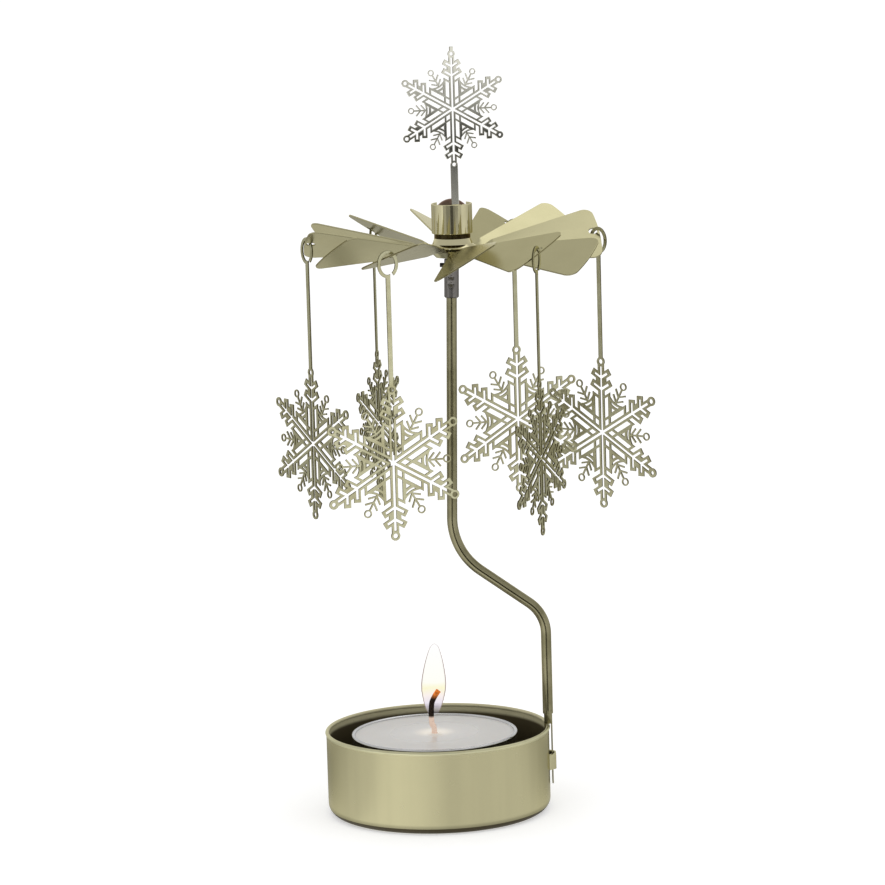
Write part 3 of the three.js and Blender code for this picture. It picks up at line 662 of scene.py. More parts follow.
def noise(tree, vector, scale, detail=3.0, roughness=0.5):
    node = place(tree, "ShaderNodeTexNoise", scale=scale, detail=detail, roughness=roughness)
    if vector:
        tree.links.new(vector, node.inputs["Vector"])
    return node.outputs["Fac"]


def put(node, values):
    """Set a node's plain input values by their labels."""
    for label, value in values.items():
        node.inputs[label].default_value = value


def split(tree, vector):
    """The X, Y and Z sockets of a vector."""
    parts = tree.nodes.new("ShaderNodeSeparateXYZ")
    tree.links.new(vector, parts.inputs["Vector"])
    return parts.outputs


def vector_maths(tree, operation, vector, other=None):
    """The sockets of a vector operation with a plain second vector."""
    node = place(tree, "ShaderNodeVectorMath", operation=operation)
    tree.links.new(vector, node.inputs[0])
    if other is not None:
        node.inputs[1].default_value = other
    return node.outputs


def bumped(tree, shader, height, strength):
    bump = place(tree, "ShaderNodeBump", distance=MM, strength=strength)
    tree.links.new(height, bump.inputs["Height"])
    tree.links.new(bump.outputs["Normal"], shader.inputs["Normal"])


def metal_wear_group():
    """Cloudy tarnish, fine specks and uneven polish of plated sheet."""
    tree, ready = node_group(
        "metal wear",
        [
            ("Vector", "NodeSocketVector", None),
            ("Colour", "NodeSocketColor", (0.5, 0.5, 0.5, 1)),
            ("Tarnish", "NodeSocketColor", (0.2, 0.2, 0.1, 1)),
            ("Amount", "NodeSocketFloat", 0.3),
            ("Roughness", "NodeSocketFloat", 0.25),
            ("Smudge", "NodeSocketFloat", 0.1),
            ("Scale", "NodeSocketFloat", 1.0),
        ],
        [
            ("Colour", "NodeSocketColor"),
            ("Roughness", "NodeSocketFloat"),
            ("Height", "NodeSocketFloat"),
        ],
    )
    if ready:
        return tree
    source = place(tree, "NodeGroupInput").outputs
    result = place(tree, "NodeGroupOutput").inputs
    vector = place(tree, "ShaderNodeVectorMath", operation="SCALE")
    tree.links.new(source["Vector"], vector.inputs[0])
    tree.links.new(source["Scale"], vector.inputs["Scale"])
    vector = vector.outputs["Vector"]
    cloud = ranged(tree, noise(tree, vector, CLOUD_SCALE, 4), 0.4, 0.72)
    speck = ranged(tree, noise(tree, vector, SPECK_SCALE, 2), 0.63, 0.75)
    dulled = maths(tree, "MULTIPLY", maths(tree, "MAXIMUM", cloud, speck), source["Amount"])
    tree.links.new(mixed(tree, dulled, source["Colour"], source["Tarnish"]), result["Colour"])
    smear = maths(tree, "SUBTRACT", noise(tree, vector, SMEAR_SCALE, 5, 0.6), 0.45)
    spread = maths(tree, "MULTIPLY", smear, source["Smudge"])
    tree.links.new(maths(tree, "ADD", source["Roughness"], spread), result["Roughness"])
    grain = maths(tree, "MULTIPLY", noise(tree, vector, GRAIN_SCALE, 2), 0.06)
    ripple = maths(tree, "ADD", noise(tree, vector, WAVE_SCALE, 1), grain)
    tree.links.new(ripple, result["Height"])
    return tree


def draw_lines_group():
    """Soft streaks that run up a drawn wall round an upright axis."""
    tree, ready = node_group(
        "draw lines",
        [
            ("Vector", "NodeSocketVector", None),
            ("Lines", "NodeSocketFloat", 8.0),
            ("Length", "NodeSocketFloat", 12.0),
        ],
        [("Mask", "NodeSocketFloat"), ("Height", "NodeSocketFloat")],
    )
    if ready:
        return tree
    source = place(tree, "NodeGroupInput").outputs
    result = place(tree, "NodeGroupOutput").inputs
    parts = split(tree, source["Vector"])
    round_axis = maths(tree, "ARCTAN2", parts["Y"], parts["X"])
    spot = tree.nodes.new("ShaderNodeCombineXYZ")
    tree.links.new(maths(tree, "MULTIPLY", round_axis, source["Lines"]), spot.inputs["X"])
    tree.links.new(maths(tree, "MULTIPLY", parts["Z"], source["Length"]), spot.inputs["Z"])
    broad = noise(tree, spot.outputs["Vector"], 1, 2)
    fine = noise(tree, spot.outputs["Vector"], 7, 2)
    tree.links.new(ranged(tree, broad, 0.35, 0.65), result["Mask"])
    tree.links.new(fine, result["Height"])
    return tree


def new_material(name):
    material = bpy.data.materials.new(name)
    material.use_nodes = True
    tree = material.node_tree
    shader = tree.nodes["Principled BSDF"]
    vector = tree.nodes.new("ShaderNodeTexCoord").outputs["Object"]
    return material, tree, shader, vector


def metal(name, finishes):
    """Plated sheet or bright metal, worn as the table of metals says."""
    wear = {**WEAR, **METALS[name]}
    colour = getattr(finishes, wear["colour"])
    tarnish = wear["tarnish"]
    if isinstance(tarnish, str):
        tarnish = getattr(finishes, tarnish)
    material, tree, shader, vector = new_material(name)
    worn = place(tree, "ShaderNodeGroup", node_tree=metal_wear_group())
    tree.links.new(vector, worn.inputs["Vector"])
    put(worn, {
        "Colour": (*colour, 1), "Tarnish": (*tarnish, 1), "Amount": wear["amount"],
        "Roughness": wear["roughness"], "Smudge": wear["smudge"], "Scale": wear["scale"],
    })
    shade = worn.outputs["Colour"]
    height = worn.outputs["Height"]
    if wear["streaks"]:
        drawn = place(tree, "ShaderNodeGroup", node_tree=draw_lines_group())
        tree.links.new(vector, drawn.inputs["Vector"])
        darker = tuple(channel * STREAK_SHARE for channel in colour)
        streak = maths(tree, "MULTIPLY", drawn.outputs["Mask"], wear["streaks"])
        shade = mixed(tree, streak, shade, darker)
        lift = maths(tree, "MULTIPLY", drawn.outputs["Height"], STREAK_LIFT)
        height = maths(tree, "ADD", height, lift)
    bumped(tree, shader, height, wear["ripple"])
    tree.links.new(shade, shader.inputs["Base Color"])
    tree.links.new(worn.outputs["Roughness"], shader.inputs["Roughness"])
    edge_tint = [EDGE_SHARE * (1 + channel / max(colour)) / 2 for channel in colour]
    put(shader, {"Metallic": 1, "Specular Tint": (*edge_tint, 1)})
    return material


def lining_material(finishes, inner_shade_top, unshaded_foot):
    """The inside of the cup: half bright under the rim and darkened further down by painted shade."""
    material = metal("cup lining", finishes)
    tree = material.node_tree
    shader = tree.nodes["Principled BSDF"]
    brass = shader.inputs["Base Color"].links[0].from_socket
    vector = tree.nodes.new("ShaderNodeTexCoord").outputs["Object"]
    # Painted shade: below the rim band the lining darkens towards this colour
    unshaded = ranged(tree, split(tree, vector)["Z"], inner_shade_top, unshaded_foot)
    tree.links.new(mixed(tree, unshaded, tuple(finishes.inner_shade), brass), shader.inputs["Base Color"])
    put(shader, {"Metallic": 0.35})
    return material


def wax_material(finishes, centre, surface, pool):
    """White wax, a little see-through, with the flame's warm light round the wick."""
    material, tree, shader, vector = new_material("wax white")
    local = vector_maths(tree, "SUBTRACT", vector, (centre, HALO_BEHIND, surface))["Vector"]
    level = vector_maths(tree, "MULTIPLY", local, (1, 1, 0))["Vector"]
    away = vector_maths(tree, "LENGTH", level)["Value"]
    mottle = maths(tree, "MULTIPLY", ranged(tree, noise(tree, vector, 180, 3), 0.35, 0.7), 0.25)
    pale = mixed(tree, mottle, tuple(finishes.wax), WAX_SHADES["mottle"])
    tree.links.new(pale, shader.inputs["Base Color"])
    wet_from, wet_to = (share * pool for share in WET_SHARES)
    tree.links.new(ranged(tree, away, wet_from, wet_to, 0.16, 0.4), shader.inputs["Roughness"])
    wide = ranged(tree, away, *HALO_REACH, 1, 0)
    close = ranged(tree, away, *GLOW_REACH, 1, 0)
    halo = mixed(tree, wide, WAX_SHADES["far"], WAX_SHADES["halo"])
    tree.links.new(mixed(tree, close, halo, WAX_SHADES["glow"]), shader.inputs["Emission Color"])
    put(shader, {
        "Emission Strength": 1, "Subsurface Weight": 0.25, "Subsurface Radius": (1, 0.8, 0.6),
        "Subsurface Scale": WAX_DEPTH, "IOR": 1.44,
    })
    bumped(tree, shader, noise(tree, vector, 300, 3), 0.03)
    return material


def wick_material(finishes, light_end, ember_start, ember_end):
    """Cotton braid: lit from above at its foot, charred further up and glowing at its end."""
    material, tree, shader, vector = new_material("charred wick")
    height = split(tree, vector)["Z"]
    foot = ranged(tree, height, *(light_end + fade for fade in LIT_FADE), 1, 0)
    braid = place(tree, "ShaderNodeTexVoronoi", scale=2600.0)
    tree.links.new(vector, braid.inputs["Vector"])
    strand = braid.outputs["Distance"]
    char = mixed(tree, ranged(tree, strand, 0, 0.8), tuple(finishes.wick), STRAND_SHADE)
    # The foot takes painted light from the flame: a pale colour and a glow
    tree.links.new(mixed(tree, foot, char, tuple(finishes.wick_foot)), shader.inputs["Base Color"])
    lit = mixed(tree, maths(tree, "MULTIPLY", foot, 0.3), (0, 0, 0), tuple(finishes.wick_foot))
    crumbs = ranged(tree, noise(tree, vector, 1500, 3), 0.35, 0.6, 0.45, 1)
    ember = maths(tree, "MULTIPLY", ranged(tree, height, ember_start, ember_end), crumbs)
    tree.links.new(mixed(tree, ember, lit, tuple(finishes.ember)), shader.inputs["Emission Color"])
    put(shader, {"Emission Strength": 1, "Roughness": 0.95, "Specular IOR Level": 0.1})
    bumped(tree, shader, strand, 0.4)
    return material


def flame_material(foot, height):
    """A white flame with a yellow waist, a violet foot and a thin grey rim. Only its far side
    shows round the wick, so the wick stands clear inside it."""
    material, tree, shader, vector = new_material("flame")
    up = maths(tree, "DIVIDE", maths(tree, "SUBTRACT", split(tree, vector)["Z"], foot), height)
    ramp = tree.nodes.new("ShaderNodeValToRGB")
    elements = ramp.color_ramp.elements
    while len(elements) < len(FLAME_COLOUR_SHARES):
        elements.new(0.5)
    for element, (position, colour) in zip(elements, FLAME_COLOUR_SHARES):
        element.position = position
        element.color = colour
    tree.links.new(up, ramp.inputs["Fac"])
    slant = place(tree, "ShaderNodeLayerWeight", blend=0.5).outputs["Facing"]
    behind = tree.nodes.new("ShaderNodeNewGeometry").outputs["Backfacing"]
    edge = ranged(tree, slant, 0.55, 0.72)
    shade = mixed(tree, edge, ramp.outputs["Color"], FLAME_RIM)
    tree.links.new(shade, shader.inputs["Emission Color"])
    near = ranged(tree, up, 0.4, 0.52, 0.0, 0.9)
    far = ranged(tree, up, 0.0, 0.2, 0.0, 0.92)
    rim = maths(tree, "MULTIPLY", edge, ranged(tree, up, 0.12, 0.4, 0.0, 0.8))
    solid = maths(tree, "MAXIMUM", near, maths(tree, "MULTIPLY", far, behind))
    tree.links.new(maths(tree, "MAXIMUM", solid, rim), shader.inputs["Alpha"])
    put(shader, {
        "Emission Strength": 1, "Base Color": (0, 0, 0, 1), "Specular IOR Level": 0, "Roughness": 1,
    })
    return material


# Cup

# How far the painted highlight on the rim and the painted shade on the foot reach, and how far below
# the rim the painted shade inside begins and is full
RIM_HIGHLIGHT_BAND = 1.3 * MM
FOOT_SHADE_BAND = 0.5 * MM
INNER_SHADE_START = 1.5 * MM
INNER_SHADE_FULL = 2.4 * MM


def cup_tab(cup, stem):
    """Where the clip's outer tab lies beside the cup: its inner and outer faces."""
    inside = cup.radius - cup.wall / 2 + cup.bead + SEAT_GAP
    return inside, inside + stem.clip_sheet


def cup_shell(cup):
    corner = cup.radius - cup.corner
    return turned([
        (0, 0),
        *arc(corner, cup.corner, cup.corner, -90, 0, 14),
        *arc(cup.radius - cup.wall / 2, cup.height - cup.bead, cup.bead, -60, 240, 20),
        *arc(corner, cup.corner, cup.corner - cup.wall, 0, -90, 12),
        (0, cup.wall),
    ], 240)


def cup_loop(cup, stem):
    """The strap that is lanced out of the wall and holds the clip's tab."""
    outer = cup_tab(cup, stem)[1] + SLIDE_GAP
    root = cup.radius - cup.wall / 2
    half = cup.loop_width / 2
    leg = cup.loop_leg
    strap = pressed_sheet([rounded([
        (root, -half - leg),
        (outer + cup.wall, -half + leg / 2),
        (outer + cup.wall, half - leg / 2),
        (root, half + leg),
        (root, half),
        (outer, half - leg),
        (outer, leg - half),
        (root, -half),
    ], LOOP_ROUND)], cup.loop_height, LOOP_EDGE)
    strap.transform(Matrix.Translation((0, 0, cup.loop_base + cup.loop_height / 2)))
    return strap


def build_cup(settings):
    cup = settings.cup
    finishes = settings.finishes
    half = cup.loop_width / 2
    window = block(
        (cup.radius - cup.wall - OVERRUN, -half, cup.loop_base),
        (cup.radius + OVERRUN, half, cup.loop_base + cup.loop_height),
    )
    shell = carved(cup_shell(cup), window, "DIFFERENCE")
    whole = carved(shell, cup_loop(cup, settings.stem), "UNION")
    satin, lining, rim, foot = range(4)
    lining_radius = cup.radius - 0.75 * cup.wall
    for face in whole.faces:
        middle = face.calc_center_median()
        if middle.xy.length < lining_radius and middle.z > cup.wall / 2:
            face.material_index = lining
        # The rim band takes a painted highlight and the foot band takes painted shade
        elif middle.z > cup.height - RIM_HIGHLIGHT_BAND and middle.xy.length < cup.radius + cup.wall:
            face.material_index = rim
        elif middle.z < FOOT_SHADE_BAND:
            face.material_index = foot
        else:
            face.material_index = satin
    materials = [
        metal("cup brass", finishes),
        lining_material(finishes, cup.height - INNER_SHADE_FULL, cup.height - INNER_SHADE_START),
        metal("cup rim", finishes),
        metal("cup foot", finishes),
    ]
    piece("cup_drawn_brass", whole, materials, "cup", ["candle_cup"])


# Tealight

# The wax climbs the wick from this far away, by this much
MENISCUS = 1.6 * MM
MENISCUS_RISE = 0.35 * MM
# The wick's places above the wax, across and up, in millimetres
WICK_ROUTE = [
    (0, 0), (-0.5, 2.4), (-0.65, 4.3), (-0.58, 6.2), (-0.4, 7.6), (0.2, 8.9), (0.85, 9.9),
    (1.2, 10.35),
]
# How its strands twist: their number, their turn per millimetre, their depth and their middle
STRANDS = 3
STRAND_TURN = 2.6
STRAND_DEPTH_SHARE = 0.1
STRAND_ASIDE = 0.5 * MM
# Heights over the wax at which the flame's light ends on the wick and its ember begins and is full
WICK_LIT = 4.35 * MM
EMBER_START = 8.3 * MM
EMBER_FULL = 10 * MM
# Half the flame's width at each share of its height
FLAME_SHARES = [
    (0, 0.22), (0.05, 0.42), (0.1, 0.57), (0.155, 0.69), (0.225, 0.81), (0.3, 0.91), (0.366, 0.98),
    (0.45, 1), (0.52, 0.97), (0.577, 0.925), (0.65, 0.85), (0.718, 0.77), (0.77, 0.7), (0.82, 0.62),
    (0.88, 0.515), (0.93, 0.41), (0.965, 0.3), (0.985, 0.19), (1, 0),
]
# How far the flame stands beside the tealight's middle, and how far it leans up to its tip
FLAME_ASIDE = -0.23 * MM
FLAME_LEAN = 0.75 * MM


def smooth(t):
    return t * t * (3 - 2 * t)


def build_tealight(settings):
    light = settings.tealight
    finishes = settings.finishes
    seat = (light.offset, 0, settings.cup.wall + SEAT_GAP)
    inside = light.radius - light.roll - light.wall / 2
    floor = light.wall + WAX_GAP
    surface = light.height - light.wax_drop - light.wax_dish
    bore = light.wick_radius + WAX_GAP
    shell = turned([
        (0, 0),
        *arc(inside + light.wall - SHELL_CORNER, SHELL_CORNER, SHELL_CORNER, -90, 0, 6),
        *arc(light.radius - light.roll, light.height - light.roll, light.roll, -60, 180, 16)[:-1],
        (inside, light.height - light.roll),
        (inside, light.wall),
        (0, light.wall),
    ])
    aluminium = metal("tealight aluminium", finishes)
    piece("tealight_pressed_shell", moved(shell, seat), [aluminium], "tealight", ["tealight_shell"])

    edge = inside - WAX_EDGE_GAP
    steps = 24
    dish = [
        (edge + (light.pool - edge) * (i / steps), surface + light.wax_dish * (1 - smooth(i / steps)))
        for i in range(steps + 1)
    ]
    steps = 8
    meniscus = [
        (bore + MENISCUS * (1 - i / steps), surface + MENISCUS_RISE * (i / steps) ** 2)
        for i in range(steps + 1)
    ]
    recess = light.foot_radius + WAX_GAP
    recess_top = floor + light.foot_sheet + WAX_GAP
    neck = light.neck_radius + WAX_GAP
    neck_top = floor + light.neck_height + WAX_GAP
    wax = turned([
        (recess, floor), (edge, floor), *dish, *meniscus,
        (bore, neck_top), (neck, neck_top), (neck, recess_top), (recess, recess_top),
    ])
    waxed = wax_material(finishes, light.offset, surface + seat[2], light.pool)
    piece("wax_fill", moved(wax, seat), [waxed], "tealight", ["wax"])

    foot = turned(rounded([
        (bore, floor),
        (light.foot_radius, floor),
        (light.foot_radius, floor + light.foot_sheet),
        (light.neck_radius, floor + light.foot_sheet),
        (light.neck_radius, floor + light.neck_height),
        (bore, floor + light.neck_height),
    ], HOLDER_ROUND, 3), 64)
    steel = metal("wick foot steel", finishes)
    piece("wick_holder", moved(foot, seat), [steel], "tealight", ["wick_foot"])

    build_wick(light, finishes, seat, floor, surface)
    build_flame(light)


def through(route, steps):
    """A smooth path through all the points of a route."""
    path = []
    last = len(route) - 1
    for i in range(last):
        before, start, end, after = (route[max(min(k, last), 0)] for k in (i - 1, i, i + 1, i + 2))
        for step in range(steps):
            t = step / steps
            path.append(0.5 * (
                2 * start + (end - before) * t
                + (2 * before - 5 * start + 4 * end - after) * t ** 2
                + (3 * start - before - 3 * end + after) * t ** 3
            ))
    return path + [route[-1]]


def build_wick(light, finishes, seat, floor, surface):
    route = [Vector((0, 0, floor))]
    route += [Vector((across * MM, 0, surface + up * MM)) for across, up in WICK_ROUTE]
    sides = 24
    mesh = swept(through(route, 6), [
        (light.wick_radius * math.cos(TURN * i / sides), light.wick_radius * math.sin(TURN * i / sides))
        for i in range(sides)
    ])
    for vertex in mesh.verts:
        around_wick = math.atan2(vertex.co.y, vertex.co.x + STRAND_ASIDE)
        twist = around_wick * STRANDS + vertex.co.z / MM * STRAND_TURN
        vertex.co.y *= 1 + STRAND_DEPTH_SHARE * math.sin(twist)
    base = seat[2] + surface
    charred = wick_material(finishes, base + WICK_LIT, base + EMBER_START, base + EMBER_FULL)
    piece("wick_braid", moved(mesh, seat), [charred], "tealight", ["wick"])


def build_flame(light):
    outline = [(width * light.flame_radius, rise * light.flame_height) for rise, width in FLAME_SHARES]
    mesh = turned([(0, 0), *outline], 64)
    bmesh.ops.subdivide_edges(mesh, edges=mesh.edges, cuts=1, smooth=1, use_grid_fill=True)
    for vertex in mesh.verts:
        vertex.co.x += FLAME_LEAN * vertex.co.z / light.flame_height
    moved(mesh, (light.offset + FLAME_ASIDE, 0, light.flame_foot))
    glowing = flame_material(light.flame_foot, light.flame_height)
    flame = piece("flame", mesh, [glowing], "tealight", [], sharp=math.pi)
    flame.visible_shadow = False
    flame.visible_diffuse = False


# Stem, needle and sleeve

# How far the tube's outside rolls in at each side of its seam, in degrees
SEAM_ROLL = 4
# The sleeve's crimps: height over its foot and reach, and how far they stand to one side
DIMPLES = [(3.3 * MM, 0.55 * MM), (4.9 * MM, 0.5 * MM)]
DIMPLE_ASIDE = 0.15 * MM


def upper_run(settings):
    """The needle's tip and the direction of the stem's upper run."""
    tip = Vector((settings.needle.across, 0, settings.needle.tip))
    corner = Vector((settings.stem.high_x, 0, settings.stem.high_bend))
    return tip, (tip - corner).normalized()


def along_run(settings, height):
    tip, run = upper_run(settings)
    return tip + run * ((height - tip.z) / run.z)


def bent(corner, before, after, radius, steps=20):
    """Points round a bend between two straight runs that meet at a corner."""
    into = (corner - before).normalized()
    out = (after - corner).normalized()
    turn = into.angle(out)
    axle = into.cross(out).normalized()
    centre = corner + (out - into).normalized() * (radius / math.cos(turn / 2))
    return [
        centre + (Matrix.Rotation(turn * i / steps, 3, axle) @ into).cross(axle) * radius
        for i in range(steps + 1)
    ]


def polar(radius, at):
    """A point of a section at an angle in degrees."""
    at = math.radians(at)
    return radius * math.cos(at), radius * math.sin(at)


def build_stem(settings):
    stem = settings.stem
    cup = settings.cup
    tab_inside, tab_outside = cup_tab(cup, stem)
    across = tab_outside + stem.clip_proud - stem.radius
    tube_foot = cup.height + stem.foot_rise
    foot = Vector((across, 0, tube_foot))
    low = Vector((across, 0, stem.low_bend))
    high = Vector((stem.high_x, 0, stem.high_bend))
    top = along_run(settings, settings.needle.sleeve_foot + settings.needle.stem_inside)
    path = [foot, *bent(low, foot, high, stem.low_round), *bent(high, low, top, stem.high_round), top]
    seam = math.degrees(math.asin(stem.seam / 2 / stem.radius))
    tube = swept(path, [
        *arc(0, 0, stem.radius, seam + SEAM_ROLL, 360 - seam - SEAM_ROLL, 44),
        polar(stem.radius - SEAM_LIP, 360 - seam),
        *arc(0, 0, stem.radius - stem.wall, 360 - seam, seam, 30),
        polar(stem.radius - SEAM_LIP, seam),
    ])
    seat = cup.height + SEAT_GAP
    tongue_outside = cup.radius - cup.wall - SLIDE_GAP
    tongue_inside = tongue_outside - stem.clip_sheet
    clip = pressed_sheet([rounded([
        (tongue_inside, cup.height - stem.tongue),
        (tongue_outside, cup.height - stem.tongue),
        (tongue_outside, seat),
        (tab_inside, seat),
        (tab_inside, stem.tab_end),
        (tab_outside, stem.tab_end),
        (tab_outside, tube_foot + stem.neck_rise),
        (across - stem.radius + stem.clip_proud, tube_foot + stem.neck_rise),
        (tongue_inside, seat + stem.clip_sheet),
    ], CLIP_ROUND)], stem.clip_width, SHEET_EDGE)
    clip.transform(Matrix.Rotation(math.pi / 2, 4, "X"))
    olive = metal("stem brass", settings.finishes)
    piece("stem_rolled_tube", joined([tube, clip]), [olive], "stem", ["stem"])


def on_upper_run(settings, mesh):
    """A mesh made upright from the sleeve's foot, leaned with the stem's upper run."""
    run = upper_run(settings)[1]
    lean = Matrix.Rotation(math.atan2(run.x, run.z), 4, "Y")
    mesh.transform(Matrix.Translation(along_run(settings, settings.needle.sleeve_foot)) @ lean)
    return mesh


def crosswise(radius, start, end, height, edge=0.0):
    """A pin along the X axis."""
    profile = [(0, start), (radius - edge, start), (radius, start + edge), (radius, end), (0, end)]
    mesh = turned(profile, 32)
    mesh.transform(Matrix.Translation((0, 0, height)) @ Matrix.Rotation(math.pi / 2, 4, "Y"))
    return mesh


def pin_bore(needle, depth, height):
    """The hole for the cross pin: in from the front, to the middle."""
    return crosswise(needle.pin_radius + BORE_GAP, -depth - OVERRUN, 0, height)


def crimped_sleeve(needle, bore, radius):
    steps = 90
    outside = needle.sleeve_length - 1.6 * CHAMFER
    tube = turned([
        (bore, 0),
        (radius - CHAMFER, 0),
        *((radius, CHAMFER + outside * i / steps) for i in range(steps + 1)),
        (radius - 0.6 * CHAMFER, needle.sleeve_length),
        (bore, needle.sleeve_length),
    ], 128)
    for middle, reach in DIMPLES:
        for vertex in tube.verts:
            if vertex.co.y < 0 and vertex.co.xy.length > radius - CHAMFER:
                away = Vector((vertex.co.x + DIMPLE_ASIDE, vertex.co.z - middle)).length
                vertex.co.y += needle.dimple * math.exp(-((away / reach) ** 2))
    return tube


def build_needle(settings):
    needle = settings.needle
    finishes = settings.finishes
    bore = settings.stem.radius + BORE_GAP
    radius = bore + needle.sleeve_wall
    rise = needle.pin_height - needle.sleeve_foot
    tube = carved(crimped_sleeve(needle, bore, radius), pin_bore(needle, radius, rise), "DIFFERENCE")
    steel = metal("sleeve steel", finishes)
    piece("sleeve_crimped", on_upper_run(settings, tube), [steel], "stem", ["needle_sleeve"])

    run = upper_run(settings)[1]
    shank_foot = needle.stem_inside + SEAT_GAP
    shank_top = shank_foot + needle.shank
    tip = (needle.tip - needle.sleeve_foot) / run.z
    pointed = turned([
        (0, shank_foot),
        (needle.shank_radius, shank_foot),
        (needle.shank_radius, shank_top - CHAMFER),
        (needle.shank_radius - CHAMFER, shank_top),
        (needle.radius, shank_top),
        (needle.radius, tip - needle.taper),
        *arc(0, tip - needle.point, needle.point, 10, 90, 6),
    ], 64)
    pointed = carved(pointed, pin_bore(needle, needle.shank_radius, rise), "DIFFERENCE")
    piece("needle_ground", on_upper_run(settings, pointed), [steel], "stem", ["pivot_needle"])

    dark = metal("pin steel", finishes)
    pin = crosswise(needle.pin_radius, -radius - needle.pin_proud, -BORE_GAP, rise, PIN_CHAMFER)
    piece("pin_through_sleeve", on_upper_run(settings, pin), [dark], "stem", ["cross_pin"])


# Vane wheel, collar and dome

# A vane has cuts across its twist, and cuts along it this far apart beside its middle line
TWIST_CUTS = 14
ROOT_CUT = 0.7 * MM
# A face belongs to a side of the wheel from this share of upright on
SIDE_SHARE = 0.3


def vane_outline(wheel):
    """A vane's flat outline: out along one slit, round its curved end and in along the other."""
    sector = math.pi / wheel.vanes
    slope = math.tan(sector)
    centre = wheel.tip - wheel.tip_round
    inset = wheel.slit / 2 + wheel.corner / math.cos(sector)
    middle = centre + slope * inset
    spread = 1 + slope ** 2
    short = centre ** 2 + inset ** 2 - (wheel.tip_round - wheel.corner) ** 2
    corner_x = (middle + math.sqrt(middle ** 2 - spread * short)) / spread
    corner_y = corner_x * slope - inset
    end = math.degrees(math.atan2(corner_y, corner_x - centre))
    root = wheel.hub - wheel.sheet
    side = [
        (root, root * slope - wheel.slit / 2),
        *arc(corner_x, corner_y, wheel.corner, 90 + math.degrees(sector), end, 10),
        *arc(centre, 0, wheel.tip_round, end, 0, 8)[1:-1],
    ]
    return side + [(wheel.tip, 0)] + [(x, -y) for x, y in reversed(side)]


def bent_by(wheel, twist, rise):
    """The turn of a vane from flat: twisted about X and bent up at the hub's edge."""
    out = Matrix.Translation((wheel.hub, 0, 0))
    turned_up = Matrix.Rotation(-rise, 4, "Y") @ Matrix.Rotation(twist, 4, "X")
    return out @ turned_up @ out.inverted()


def cut_by(sheet, spot, normal):
    """Give a sheet edges where a plane meets it."""
    everything = sheet.verts[:] + sheet.edges[:] + sheet.faces[:]
    bmesh.ops.bisect_plane(sheet, geom=everything, plane_co=spot, plane_no=normal)


def vane(wheel, twist, rise, with_hole):
    loops = [vane_outline(wheel)]
    if with_hole:
        at = wheel.tip - wheel.hole_margin - wheel.hole
        loops.append([(at + x, wheel.hole_side + y) for x, y in arc(0, 0, wheel.hole, 0, 350, 35)])
    sheet = pressed_sheet(loops, wheel.sheet, SHEET_EDGE)
    length = wheel.twist_end - wheel.hub
    for i in range(TWIST_CUTS + 1):
        cut_by(sheet, (wheel.hub + length * i / TWIST_CUTS, 0, 0), (1, 0, 0))
    for i in range(-2, 3):
        cut_by(sheet, (0, ROOT_CUT * i, 0), (0, 1, 0))
    for vertex in sheet.verts:
        t = smooth(min(max((vertex.co.x - wheel.hub) / length, 0), 1))
        vertex.co = bent_by(wheel, twist * t, rise * t) @ vertex.co
    return sheet


def build_wheel(settings):
    wheel = settings.wheel
    finishes = settings.finishes
    top = wheel.sheet / 2
    hub = turned([
        (wheel.bore, top - wheel.bowl_depth),
        (wheel.bowl_radius - wheel.sheet, top - wheel.bowl_depth),
        *arc(wheel.hub - 3 * wheel.sheet, top - wheel.sheet, wheel.sheet, 150, 90, 5),
        (wheel.hub, top),
        (wheel.hub, -top),
        (wheel.hub - wheel.sheet, -top),
        (wheel.bowl_radius, -top - wheel.bowl_depth),
        (wheel.bore, -top - wheel.bowl_depth),
    ], 144)
    vanes = []
    for i in range(wheel.vanes):
        blade = vane(wheel, TWISTS[i % len(TWISTS)], RISES[i % len(RISES)], i % 2 == 0)
        blade.transform(Matrix.Rotation(TURN * i / wheel.vanes, 4, "Z"))
        vanes.append(blade)
    whole = carved(hub, joined(vanes), "UNION")
    # Faces that look down take the painted shade of the lower side
    upper, lower, edge = range(3)
    for face in whole.faces:
        face.material_index = edge
        if abs(face.normal.z) > SIDE_SHARE:
            face.material_index = upper if face.normal.z > 0 else lower
    spot = Matrix.Translation((settings.needle.across, 0, wheel.plane))
    whole.transform(spot @ Matrix.Rotation(wheel.first, 4, "Z"))
    materials = [metal(name, finishes) for name in ("vane brass", "vane underside", "cut edge brass")]
    piece("vanes_stamped", whole, materials, "rotor", ["vane_wheel"], SHEET_SHARP)


def crown(radius, rise, top):
    """A dome's profile, from its side up to its middle."""
    curve = (radius ** 2 + rise ** 2) / (2 * rise)
    reach = math.degrees(math.asin(radius / curve))
    return [*arc(0, top - curve, curve, 90 - reach, 90, 14)[:-1], (0, top)]


